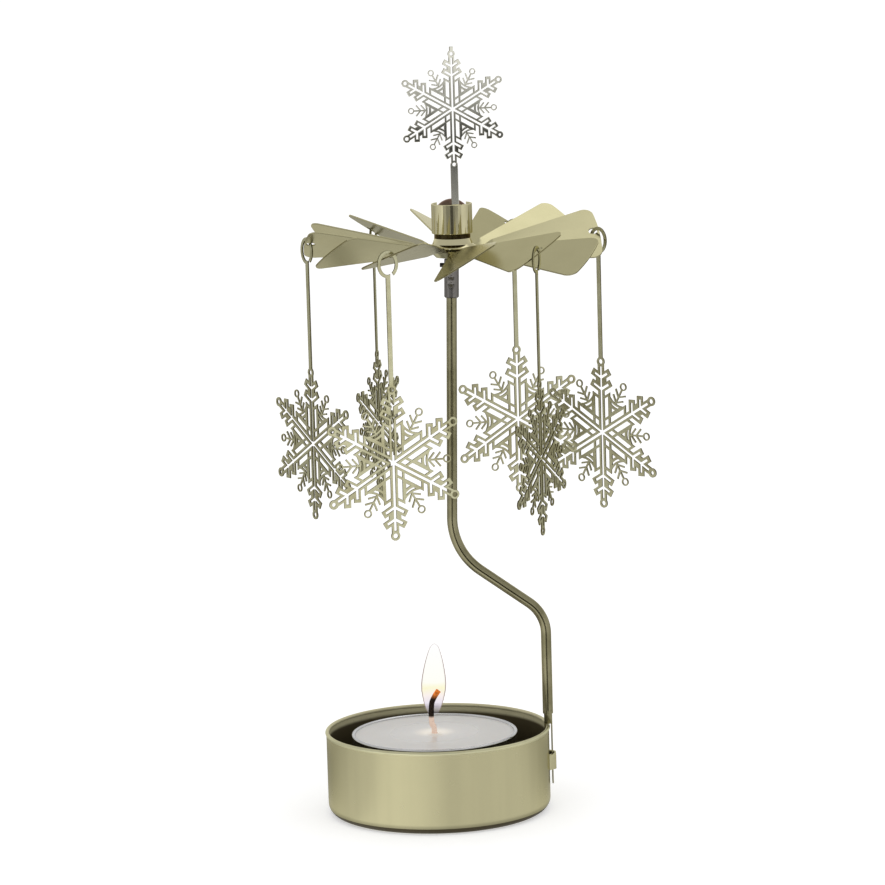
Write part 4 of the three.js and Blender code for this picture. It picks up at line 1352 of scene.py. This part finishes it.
def build_hub(settings):
    wheel = settings.wheel
    finishes = settings.finishes
    wall = wheel.collar_wall
    axis = (settings.needle.across, 0, 0)
    seat = wheel.plane + wheel.sheet / 2 + SEAT_GAP
    neck_inside = wheel.collar_neck - wall
    foot = wheel.collar_foot
    collar = turned(rounded([
        (wheel.flange, seat),
        (wheel.flange, seat + wall),
        (wheel.flare, seat + wheel.flange_rise),
        (wheel.collar_neck, wheel.neck_foot),
        (wheel.collar_neck, foot),
        (wheel.collar, foot + wall / 2),
        (wheel.collar, wheel.collar_top),
        (wheel.collar - wall, wheel.collar_top),
        (wheel.collar - wall, foot + wall),
        (neck_inside, foot + wall / 2),
        (neck_inside, seat),
    ], COLLAR_ROUND, 3), 160)
    notch = block(
        (-wheel.notch_width / 2, 0, wheel.collar_top - wheel.notch_depth),
        (wheel.notch_width / 2, wheel.collar + OVERRUN, wheel.collar_top + OVERRUN),
    )
    collar = carved(collar, notch, "DIFFERENCE")
    # The neck under the collar's wall takes painted shade
    polished, groove = range(2)
    for face in collar.faces:
        middle = face.calc_center_median()
        outside = neck_inside + wall / 2 < middle.xy.length < wheel.collar - wall / 2
        on_neck = outside and wheel.neck_foot < middle.z < foot + wall / 2
        face.material_index = groove if on_neck else polished
    materials = [metal(name, finishes) for name in ("collar brass", "collar groove")]
    piece("collar_polished", moved(collar, axis), materials, "rotor", ["hub_collar"])

    base = wheel.plane + wheel.sheet / 2 - wheel.bowl_depth + SEAT_GAP
    top = settings.needle.tip + SEAT_GAP + wheel.dome_wall
    inner = wheel.dome - wheel.dome_wall
    dome = turned([
        *reversed(crown(inner, wheel.dome_crown, top - wheel.dome_wall)),
        (inner, base),
        (wheel.dome, base),
        *crown(wheel.dome, wheel.dome_crown, top),
    ], 96)
    copper = metal("dome copper", finishes)
    piece("dome_spun", moved(dome, axis), [copper], "rotor", ["bearing_dome"])


# Snowflakes

# Shares are of the distance from a flake's centre to the middle of an arm's ring. An arm is as wide
# as twice its share and has a slot along its middle that branches into two pairs of barbs.
ARM_SHARE = 0.0525
SLOT_SHARE = 0.0175
SLOT_END_SHARE = 0.93
BARB_SHARE = 0.05
BARB_SHARES = [
    {"root": 0.775, "length": 0.175, "slot": 0.125, "foot": 0.088},
    {"root": 0.61, "length": 0.195, "slot": 0.15},
]
# The notch between two barbs: its depth, and where it lies along the arm
NOTCH_SHARE = 0.088
NOTCH_SPAN_SHARES = (0.7185, 0.768)
# Between two arms: the frame beside each arm, its ends, and the band and the dart within it
FRAME_SHARES = (0.118, 0.152)
FRAME_SLOT_SHARE = 0.389
FRAME_END_SHARE = 0.423
FRAME_GAP_SHARES = (0.519, 0.583)
DART_INSET_SHARE = 0.17
DART_END_SHARE = 0.398
CRESCENT_SHARES = (0.437, 0.462)
BAND_END_SHARE = 0.492
BAND_BOW = 2.0
# The fern that grows from the band: its stalk, its branches and how far they reach along and across
STALK_SHARE = 0.0125
BRANCH_SHARES = [0.515, 0.605]
BRANCH_REACH_SHARES = (0.072, 0.085)
# The rings of the arms and of the ferns
RING_SHARE = 0.066
RING_HOLE_SHARE = 0.033
SMALL_RING_SHARE = 0.057
SMALL_HOLE_SHARE = 0.037
SMALL_RING_AT_SHARE = 0.77
# How much of its own half width the topper's strip has where it meets the ring
STRIP_GRIP_SHARE = 0.97


def in_arm(along, across, at):
    return Matrix.Rotation(at, 2) @ Vector((along, across))


def between(from_arm, from_next, at=0.0):
    """A point by its distances from the two arms on either side of it."""
    return in_arm(from_arm + from_next, (from_arm - from_next) / math.sqrt(3), at + SIXTH / 2)


def on_barb(root, along, side, half):
    """A point on a barb's long side: side is +1 on its outer side and -1 on its inner."""
    return Vector((
        root + along * math.cos(SIXTH) + side * half * math.sin(SIXTH),
        along * math.sin(SIXTH) - side * half * math.cos(SIXTH),
    ))


def barb_root(root, side, half, level):
    """Where a barb's long side meets a line at some level beside the arm's middle."""
    along = (level + side * half * math.cos(SIXTH)) / math.sin(SIXTH)
    return on_barb(root, along, side, half)


def half_ring(at, radius, stalk, steps):
    """Half a ring's edge, from its far end to where it meets a stalk's side."""
    join = math.pi - math.asin(stalk / radius)
    turns = [join * i / steps for i in range(steps + 1)]
    return [Vector((at + radius * math.cos(turn), radius * math.sin(turn))) for turn in turns]


def bowed(level, clearance, steps):
    """A curve across a wedge, from its middle to a line at some distance from the arm, as
    (along, across) from the wedge's middle line."""
    # across where level + bow * across^2 meets the line along/2 - across*sqrt(3)/2 = clearance
    under_root = 3 - 4 * BAND_BOW * (level - 2 * clearance)
    reach = (math.sqrt(3) - math.sqrt(under_root)) / (2 * BAND_BOW)
    return [(level + BAND_BOW * (reach * i / steps) ** 2, reach * i / steps) for i in range(steps + 1)]


def bowed_across(level, clearance, steps):
    """The whole of such a curve, from one side of the wedge to the other."""
    half = bowed(level, clearance, steps)
    return [(along, -across) for along, across in reversed(half[1:])] + half


def in_fern(points, at=0.0):
    """Points given as (along, across) from the middle line between two arms."""
    return [in_arm(along, across, at + SIXTH / 2) for along, across in points]


def mirrored(points):
    return [Vector((x, -y)) for x, y in reversed(points)]


def half_outline():
    """The outline from the end of one arm to the small ring halfway to the next."""
    outer, inner = BARB_SHARES
    near, far = FRAME_SHARES
    points = [
        *half_ring(1, RING_SHARE, ARM_SHARE, 10),
        Vector((outer["root"] + outer["foot"], ARM_SHARE)),
        on_barb(outer["root"], outer["length"], 1, BARB_SHARE),
        on_barb(outer["root"], outer["length"], -1, BARB_SHARE),
        Vector((NOTCH_SPAN_SHARES[1], NOTCH_SHARE)),
        Vector((NOTCH_SPAN_SHARES[0], NOTCH_SHARE)),
        on_barb(inner["root"], inner["length"], 1, BARB_SHARE),
        on_barb(inner["root"], inner["length"], -1, BARB_SHARE),
        Vector((FRAME_GAP_SHARES[1], ARM_SHARE)),
        Vector((FRAME_GAP_SHARES[0], ARM_SHARE)),
        between(near, FRAME_END_SHARE),
        between(far, FRAME_END_SHARE),
    ]
    fern = bowed(BAND_END_SHARE, far, 8)[:0:-1]
    reach = Vector(BRANCH_REACH_SHARES)
    slant = reach.normalized()
    side = Vector((slant.y, -slant.x)) * STALK_SHARE
    wide = STALK_SHARE / slant.y
    for root in BRANCH_SHARES:
        end = Vector((root, STALK_SHARE)) + reach
        fern += [(root - wide, STALK_SHARE), end - side, end + side, (root + wide, STALK_SHARE)]
    fern += reversed(half_ring(SMALL_RING_AT_SHARE, SMALL_RING_SHARE, STALK_SHARE, 10))
    return points + in_fern((along, -across) for along, across in fern)


def turned_by(points, at):
    return [Matrix.Rotation(at, 2) @ point for point in points]


def round_hole(along, radius, at):
    steps = 20
    centre = in_arm(along, 0, at)
    return [centre + in_arm(radius, 0, TURN * i / steps) for i in range(steps)]


def sixth_holes(at):
    """The closed holes of one sixth."""
    lane = (ARM_SHARE, FRAME_SHARES[0])
    slot = (FRAME_SHARES[1], FRAME_SLOT_SHARE)

    def lattice(near, far):
        """A hole between two distances from one arm and two from the next."""
        corners = [(near[0], far[0]), (near[1], far[0]), (near[1], far[1]), (near[0], far[1])]
        return [between(*corner, at) for corner in corners]

    dart = bowed_across(DART_END_SHARE, DART_INSET_SHARE, 5)
    below, above = (bowed_across(level, DART_INSET_SHARE, 7) for level in CRESCENT_SHARES)
    return [
        lattice(lane, lane),
        lattice(lane, slot),
        lattice(slot, lane),
        [between(DART_INSET_SHARE, DART_INSET_SHARE, at), *in_fern(reversed(dart), at)],
        in_fern([*below, *reversed(above)], at),
        round_hole(1, RING_HOLE_SHARE, at),
        round_hole(SMALL_RING_AT_SHARE, SMALL_HOLE_SHARE, at + SIXTH / 2),
    ]


def star_points(at):
    """One arm's share of the open star, with the slots that branch into its barbs."""
    half = []
    for barb in reversed(BARB_SHARES):
        half += [
            barb_root(barb["root"], -1, SLOT_SHARE, SLOT_SHARE),
            on_barb(barb["root"], barb["slot"], -1, SLOT_SHARE),
            on_barb(barb["root"], barb["slot"], 1, SLOT_SHARE),
            barb_root(barb["root"], 1, SLOT_SHARE, SLOT_SHARE),
        ]
    half.append(Vector((SLOT_END_SHARE, SLOT_SHARE)))
    lower = [Vector((x, -y)) for x, y in half]
    return turned_by(lower + half[::-1], at) + [between(SLOT_SHARE, SLOT_SHARE, at)]


def sized(points, radius, start=math.inf):
    """Points at full size, without those that lie beyond the start of a strip."""
    return [point * radius for point in points if abs(point.y) * radius < start]


def flake_loops(radius, stand, foot):
    """A flake's outline, its open star and its holes. stand and foot are strips drawn at full
    size on the rings of the arms that point up and down."""
    half = half_outline()
    outline, star, holes = [], [], []
    ends = {0: stand, 3: foot}
    for i in range(6):
        at = i * SIXTH + math.pi / 2
        strip = [Vector(point) for point in ends.get(i, [])]
        start = min((abs(point.y) for point in strip), default=math.inf)
        outline += sized(turned_by(mirrored(half), at), radius, start) + strip
        outline += sized(turned_by(half, at), radius, start)
        star += sized(star_points(at), radius)
        holes += [sized(hole, radius) for hole in sixth_holes(at)]
    single = []
    for point in outline:
        if not single or (point - single[-1]).length > SAME_POINT:
            single.append(point)
    return [single, star, *holes]


def ring_edge(radius, half):
    """How far from a flake's centre a strip of some half width meets the edge of a ring."""
    return radius + math.sqrt((RING_SHARE * radius) ** 2 - half ** 2)


def oval(width, height, rise, start, end, steps):
    return [
        (width * math.cos(start + (end - start) * i / steps),
         rise + height * math.sin(start + (end - start) * i / steps))
        for i in range(steps + 1)
    ]


def hook_outline(flakes):
    """The strip and the open oval hook above a pendant's top ring. It opens towards the hub."""
    half = flakes.strip / 2
    outer = (flakes.hook_width / 2, flakes.hook_height / 2)
    inner = (outer[0] - flakes.hook_band, outer[1] - flakes.hook_band)
    start = ring_edge(flakes.radius, half)
    opening = flakes.hook_open - math.pi / 2
    enter = -math.acos(half / inner[0])
    leave = math.acos(half / outer[0]) - math.pi
    points = [
        (half, start),
        *oval(*inner, flakes.hook_drop, enter, opening - TURN, 48),
        *oval(*outer, flakes.hook_drop, opening, leave + TURN, 56),
        (-half, start),
    ]
    return [(-x, y) for x, y in reversed(points)]


def hook_seat(wheel, flakes, turn, twist, rise):
    """Where a hook hangs on a vane whose middle line lies along X."""
    across = -math.sin(turn) / math.cos(twist)
    along = (math.cos(turn) + across * math.sin(twist) * math.sin(rise)) / math.cos(rise)

    def slope(x, y):
        return math.tan(rise) * x + math.tan(twist) * y / math.cos(rise)

    climb = slope(math.cos(turn), -math.sin(turn))
    hole_at = wheel.tip - wheel.hole_margin - wheel.hole
    from_hole = wheel.hole / math.hypot(along, across)
    square = across ** 2 / (2 * wheel.tip_round)
    linear = along + across * wheel.hole_side / wheel.tip_round
    left = wheel.tip - hole_at - wheel.hole_side ** 2 / (2 * wheel.tip_round)
    to_end = (math.sqrt(linear ** 2 + 4 * square * left) - linear) / (2 * square)
    middle = from_hole + (to_end - from_hole) * flakes.hook_rest
    thickness = wheel.sheet / (math.cos(twist) * math.cos(rise))
    cover = thickness + flakes.sheet * slope(math.sin(turn), math.cos(turn))
    width = flakes.hook_width / 2 - flakes.hook_band
    height = flakes.hook_height / 2 - flakes.hook_band
    rises = []
    for reach in (from_hole, to_end):
        roof = height * math.sqrt(1 - ((reach - middle) / width) ** 2)
        rises.append(cover / 2 + climb * reach + flakes.hook_gap - roof)
    hole = bent_by(wheel, twist, rise) @ Vector((hole_at, wheel.hole_side, 0))
    return hole + Vector((middle * math.cos(turn), -middle * math.sin(turn), max(rises)))


def stood(mesh, spot, facing):
    """A flat sheet stood on edge: its X axis turned to an angle about +Z, its Y axis up."""
    upright = Matrix.Rotation(facing, 4, "Z") @ Matrix.Rotation(math.pi / 2, 4, "X")
    mesh.transform(Matrix.Translation(spot) @ upright)
    return mesh


def stamped(loops, flakes):
    """A flat snowflake whose cut edges take the second material."""
    sheet = pressed_sheet(loops, flakes.sheet, flakes.edge)
    for face in sheet.faces:
        face.material_index = 0 if abs(face.normal.z) > 0.9 else 1
    return sheet


def build_flakes(settings):
    flakes = settings.flakes
    wheel = settings.wheel
    finishes = settings.finishes
    axis = Vector((settings.needle.across, 0, 0))
    edges = metal("snowflake cut edge", finishes)
    satin = metal("snowflake brass", finishes)
    loops = flake_loops(flakes.radius, hook_outline(flakes), [])
    for i, turn in enumerate(HOOK_TURNS):
        k = 2 * i
        vane_angle = wheel.first + k * TURN / wheel.vanes
        spot = hook_seat(wheel, flakes, turn, TWISTS[k % len(TWISTS)], RISES[k % len(RISES)])
        spot += Vector((0, 0, wheel.plane))
        spot = Matrix.Rotation(vane_angle, 3, "Z") @ spot + axis
        sheet = moved(stamped(loops, flakes), (0, -flakes.hook_drop, 0))
        piece(
            f"snowflake_stamped_{i + 1}", stood(sheet, spot, vane_angle - turn), [satin, edges],
            f"pendant_{i + 1}", [f"pendant_snowflake_{i + 1}"], SHEET_SHARP,
        )

    radius = flakes.topper_radius
    stub_half = flakes.topper_stub_width / 2
    strip_half = flakes.topper_strip / 2
    stub_foot = ring_edge(radius, stub_half)
    stub_end = radius * (1 + RING_SHARE) + flakes.topper_stub
    strip_top = -ring_edge(radius, strip_half * STRIP_GRIP_SHARE)
    middle = wheel.collar_top + flakes.topper_rise
    foot = wheel.collar_foot + wheel.collar_wall + SLIDE_GAP - middle
    stub = [
        (stub_half, stub_foot), (stub_half, stub_end), (-stub_half, stub_end), (-stub_half, stub_foot)
    ]
    strip = [(-strip_half, strip_top), (-strip_half, foot), (strip_half, foot), (strip_half, strip_top)]
    mirror = metal("topper plating", finishes)
    sheet = stamped(flake_loops(radius, stub, strip), flakes)
    reach = (wheel.dome + wheel.collar - wheel.collar_wall) / 2
    spot = Matrix.Rotation(flakes.topper_turn, 3, "Z") @ Vector((0, -reach, middle)) + axis
    piece(
        "topper_stamped", stood(sheet, spot, flakes.topper_turn), [mirror, edges],
        "rotor", ["topper_snowflake"], SHEET_SHARP,
    )


# Stage

# The softbox overhead: where it hangs, and the cosines over which it fades in
SOFTBOX = (0.26, 0.33, 0.907)
SOFTBOX_FADE = (0.9, 0.99)
# The slopes over which the room goes from its white walls to its ceiling
CEILING_FADE = (0.05, 0.4)
WHITE = (1, 1, 1)

# The painted light of the floor in reflections, with each range as from, to and the levels at both.
# How far towards a side a place lies goes from -1 to 1.
FLOOR_FADE = ((0, -1, 0), -1, 0.4, 0.34, 0.98)
FLOOR_LEFT = ((-0.5, -0.866, 0), 0.8, 1, 0, 0.32)
FLOOR_BACK = ((0, 1, 0), 0.4, 0.8, 0, 1)
# A painted pool of light at the back comes in and goes out over these distances from the middle
LIGHT_POOL_IN = (0.085, 0.11, 0, 0.68)
LIGHT_POOL_OUT = (0.17, 0.3, 0, 0.5)
# Painted shadow in the floor's reflection where the cup meets the floor
CONTACT_SHADOW = (0.0255, 0.032, 0.55, 1)
# The floor's own glow where it shows, and its two greys
FLOOR_GLOW = 0.42
FLOOR_GREYS = ((0.78, 0.78, 0.78), (0.8, 0.8, 0.8))

def seen_by(tree, *rays):
    """1 for rays of any of the named kinds, and 0 for the rest."""
    path = tree.nodes.new("ShaderNodeLightPath")
    total = path.outputs[rays[0]]
    for ray in rays[1:]:
        total = maths(tree, "MAXIMUM", total, path.outputs[ray])
    return total


def emission(tree, level):
    """A glow whose strength is a number or a socket."""
    glow = tree.nodes.new("ShaderNodeEmission")
    if isinstance(level, bpy.types.NodeSocket):
        tree.links.new(level, glow.inputs["Strength"])
    else:
        glow.inputs["Strength"].default_value = level
    return glow.outputs["Emission"]


def build_world(stage):
    world = bpy.data.worlds.new("studio")
    world.use_nodes = True
    tree = world.node_tree
    direction = tree.nodes.new("ShaderNodeTexCoord").outputs["Generated"]
    slope = ranged(tree, split(tree, direction)["Z"], *CEILING_FADE)
    room = mixed(tree, slope, WHITE, (stage.ceiling,) * 3)
    aim = vector_maths(tree, "DOT_PRODUCT", direction, Vector(SOFTBOX).normalized())["Value"]
    room = mixed(tree, ranged(tree, aim, *SOFTBOX_FADE), room, (stage.softbox,) * 3)
    shown = mixed(tree, seen_by(tree, "Is Camera Ray", "Is Transmission Ray"), room, WHITE)
    visible = seen_by(tree, "Is Camera Ray", "Is Glossy Ray", "Is Transmission Ray")
    sky = mixed(tree, visible, (stage.sky,) * 3, shown)
    tree.links.new(sky, tree.nodes["Background"].inputs["Color"])
    bpy.context.scene.world = world


def floor_material():
    """White sweep: a plain matt floor whose own glow brings it to white where it shows. In
    reflections it shows painted light: brightest in front on the left, falling off towards the
    back, with a painted pool of light at the back and a painted shadow round the cup."""
    material, tree, shader, vector = new_material("white sweep")
    speckle = ranged(tree, noise(tree, vector, 30, 2), 0.3, 0.7)
    tree.links.new(mixed(tree, speckle, *FLOOR_GREYS), shader.inputs["Base Color"])
    put(shader, {"Roughness": 0.9, "Specular IOR Level": 0.1})
    outward = vector_maths(tree, "NORMALIZE", vector)["Vector"]
    reach = vector_maths(tree, "LENGTH", vector)["Value"]

    def towards(side, *levels):
        return ranged(tree, vector_maths(tree, "DOT_PRODUCT", outward, side)["Value"], *levels)

    pool = maths(tree, "SUBTRACT", ranged(tree, reach, *LIGHT_POOL_IN), ranged(tree, reach, *LIGHT_POOL_OUT))
    level = maths(tree, "ADD", towards(*FLOOR_FADE), towards(*FLOOR_LEFT))
    level = maths(tree, "ADD", level, maths(tree, "MULTIPLY", pool, towards(*FLOOR_BACK)))
    level = maths(tree, "MULTIPLY", level, ranged(tree, reach, *CONTACT_SHADOW))
    painted_floor_reflection = emission(tree, level)
    shown = seen_by(tree, "Is Camera Ray", "Is Transmission Ray")
    add = tree.nodes.new("ShaderNodeAddShader")
    tree.links.new(shader.outputs["BSDF"], add.inputs[0])
    tree.links.new(emission(tree, ranged(tree, shown, 0, 1, 0, FLOOR_GLOW)), add.inputs[1])
    swap = tree.nodes.new("ShaderNodeMixShader")
    sources = (seen_by(tree, "Is Glossy Ray"), add.outputs["Shader"], painted_floor_reflection)
    for source, socket in zip(sources, swap.inputs):
        tree.links.new(source, socket)
    tree.links.new(swap.outputs["Shader"], tree.nodes["Material Output"].inputs["Surface"])
    return material


def card(name, centre, width, height, facing, brightness):
    """An upright card that only reflections show. facing is where it lies round the object. Its
    brightness is one level, or a list of heights and levels."""
    mesh = bmesh.new()
    bmesh.ops.create_grid(mesh, x_segments=1, y_segments=1, size=0.5)
    mesh.transform(Matrix.Diagonal((width, height, 1, 1)))
    stood(mesh, centre, facing)
    material, tree, shader, vector = new_material(name)
    tree.nodes.remove(shader)
    bands = brightness if isinstance(brightness, list) else [(0, brightness)]
    level = bands[0][1]
    up = split(tree, vector)["Z"]
    for (low, before), (high, after) in zip(bands, bands[1:]):
        level = maths(tree, "ADD", ranged(tree, up, low, high, 0, after - before), level)
    tree.links.new(emission(tree, level), tree.nodes["Material Output"].inputs["Surface"])
    data = filled(name, mesh)
    data.materials.append(material)
    board = linked(name, data)
    board.visible_camera = False
    board.visible_diffuse = False
    board.visible_shadow = False
    board.visible_transmission = False


def around(azimuth, distance, height):
    """A place round the object. Azimuth 0 is the camera's side and 90 the stem's."""
    at = math.radians(azimuth)
    return Vector((math.sin(at) * distance, -math.cos(at) * distance, height))


# What the topper mirrors, as heights and levels: grey for its strip, then dark, grey and light
TOPPER_BANDS = [
    (0.058, 0.6), (0.06, 0.25), (0.077, 0.25), (0.08, 0.03), (0.094, 0.03), (0.1, 0.3), (0.113, 0.55),
    (0.118, 0.95),
]
# Cards: name, azimuth, distance, height of the middle, width, height and brightness
CARDS = [
    ("card_front_dark", 1, 0.8, 0.12, 0.24, 0.24, 0.1),
    ("card_front_dim", 13, 0.802, 0.12, 0.14, 0.24, 0.3),
    ("card_front_right", 27, 0.81, 0.15, 0.26, 0.3, TOPPER_BANDS),
    ("card_right_grey", 46, 0.8, 0.15, 0.28, 0.3, 0.72),
    ("card_front_left", -20, 0.81, 0.12, 0.36, 0.24, 0.34),
    ("card_left_grey", -41, 0.8, 0.12, 0.26, 0.24, 0.54),
    ("card_left_near", -80, 0.5, 0.038, 0.26, 0.076, 0.48),
    ("card_right_bright", 36, 0.55, 0.036, 0.14, 0.072, 1.65),
    ("card_right_near", 55, 0.55, 0.036, 0.16, 0.072, 0.85),
    ("card_back_right", 140, 0.5, 0.038, 0.32, 0.076, 0.55),
    ("card_back_left", -118, 0.5, 0.038, 0.36, 0.076, 0.6),
]
# Where the lamps aim, and the lamps: name, azimuth, distance, height, size and brightness
LAMP_AIM = (0, 0, 0.09)
LAMPS = [
    ("lamp_front_left", -37, 0.9, 0.45, 0.5, 0.7),
    ("lamp_front_right", 44, 0.9, 0.4, 0.45, 0.5),
    ("lamp_top", 30, 0.25, 1.2, 0.6, 0.9),
]


def lamp(name, azimuth, distance, height, size, brightness):
    data = bpy.data.lights.new(name, "AREA")
    data.shape = "SQUARE"
    data.size = size
    data.energy = brightness * math.pi * size ** 2
    made = linked(name, data)
    spot = around(azimuth, distance, height)
    aim = Vector(LAMP_AIM) - spot
    made.matrix_world = Matrix.Translation(spot) @ aim.to_track_quat("-Z", "Y").to_matrix().to_4x4()
    made.visible_glossy = False


# The sensor that the focal length is given for, in millimetres
SENSOR_WIDTH = 36


def build_camera(stage):
    yaw, pitch, roll = stage.camera_yaw, stage.camera_pitch, stage.camera_roll
    ahead = Vector((
        math.sin(yaw) * math.cos(pitch), math.cos(yaw) * math.cos(pitch), -math.sin(pitch)
    ))
    level = ahead.cross(Vector((0, 0, 1))).normalized()
    up = level.cross(ahead)
    right = level * math.cos(roll) + up * math.sin(roll)
    upright = up * math.cos(roll) - level * math.sin(roll)
    axes = Matrix((right, upright, -ahead)).transposed().to_4x4()
    data = bpy.data.cameras.new("camera")
    data.lens = stage.lens
    data.sensor_width = SENSOR_WIDTH
    camera = linked("camera", data)
    spot = Vector((stage.camera_x, stage.camera_y, stage.camera_z))
    camera.matrix_world = Matrix.Translation(spot) @ axes
    bpy.context.scene.camera = camera


def build_stage(settings):
    stage = settings.stage
    mesh = bmesh.new()
    bmesh.ops.create_grid(mesh, x_segments=1, y_segments=1, size=stage.floor)
    data = filled("floor", mesh)
    data.materials.append(floor_material())
    linked("floor", data)
    build_world(stage)
    for name, azimuth, distance, height, width, tall, brightness in CARDS:
        facing = math.radians(azimuth)
        card(name, around(azimuth, distance, height), width, tall, facing, brightness)
    for values in LAMPS:
        lamp(*values)
    build_camera(stage)
    bpy.context.scene.view_settings.view_transform = "Standard"


# Operators

class BuildCup(bpy.types.Operator):
    """Build the drawn candle cup with its rolled rim and loop"""
    bl_idname = "carousel.cup"
    bl_label = "Candle cup"

    def execute(self, context):
        build_cup(context.scene.carousel)
        return {"FINISHED"}


class BuildTealight(bpy.types.Operator):
    """Build the tealight: shell, wax, wick and flame"""
    bl_idname = "carousel.tealight"
    bl_label = "Tealight"

    def execute(self, context):
        build_tealight(context.scene.carousel)
        return {"FINISHED"}


class BuildStem(bpy.types.Operator):
    """Build the rolled stem and its clip"""
    bl_idname = "carousel.stem"
    bl_label = "Stem"

    def execute(self, context):
        build_stem(context.scene.carousel)
        return {"FINISHED"}


class BuildNeedle(bpy.types.Operator):
    """Build the crimped sleeve, the needle and the cross pin"""
    bl_idname = "carousel.needle"
    bl_label = "Needle and sleeve"

    def execute(self, context):
        build_needle(context.scene.carousel)
        return {"FINISHED"}


class BuildWheel(bpy.types.Operator):
    """Build the stamped wheel with its twisted vanes"""
    bl_idname = "carousel.wheel"
    bl_label = "Vane wheel"

    def execute(self, context):
        build_wheel(context.scene.carousel)
        return {"FINISHED"}


class BuildHub(bpy.types.Operator):
    """Build the collar and the bearing dome"""
    bl_idname = "carousel.hub"
    bl_label = "Collar and dome"

    def execute(self, context):
        build_hub(context.scene.carousel)
        return {"FINISHED"}


class BuildFlakes(bpy.types.Operator):
    """Build the topper and the hanging snowflakes"""
    bl_idname = "carousel.flakes"
    bl_label = "Snowflakes"

    def execute(self, context):
        build_flakes(context.scene.carousel)
        return {"FINISHED"}


class BuildStage(bpy.types.Operator):
    """Build the floor, the room, the lamps and the camera"""
    bl_idname = "carousel.stage"
    bl_label = "Stage"

    def execute(self, context):
        build_stage(context.scene.carousel)
        return {"FINISHED"}


OPERATORS = [
    BuildCup, BuildTealight, BuildStem, BuildNeedle, BuildWheel, BuildHub, BuildFlakes, BuildStage,
]


class CarouselPanel(bpy.types.Panel):
    """Lists the carousel's operators"""
    bl_idname = "VIEW3D_PT_carousel"
    bl_label = "Candle carousel"
    bl_space_type = "VIEW_3D"
    bl_region_type = "UI"
    bl_category = "Carousel"

    def draw(self, context):
        for operator in OPERATORS:
            self.layout.operator(operator.bl_idname)


CLASSES = [
    CupSizes, TealightSizes, StemSizes, NeedleSizes, WheelSizes, FlakeSizes, Finishes, StageSettings,
    CarouselSettings, *OPERATORS, CarouselPanel,
]


def register():
    for made in CLASSES:
        bpy.utils.register_class(made)
    bpy.types.Scene.carousel = bpy.props.PointerProperty(type=CarouselSettings)


def unregister():
    del bpy.types.Scene.carousel
    for made in reversed(CLASSES):
        bpy.utils.unregister_class(made)


def main():
    register()
    bpy.ops.carousel.cup()
    bpy.ops.carousel.tealight()
    bpy.ops.carousel.stem()
    bpy.ops.carousel.needle()
    bpy.ops.carousel.wheel()
    bpy.ops.carousel.hub()
    bpy.ops.carousel.flakes()
    bpy.ops.carousel.stage()


if __name__ == "__main__":
    main()
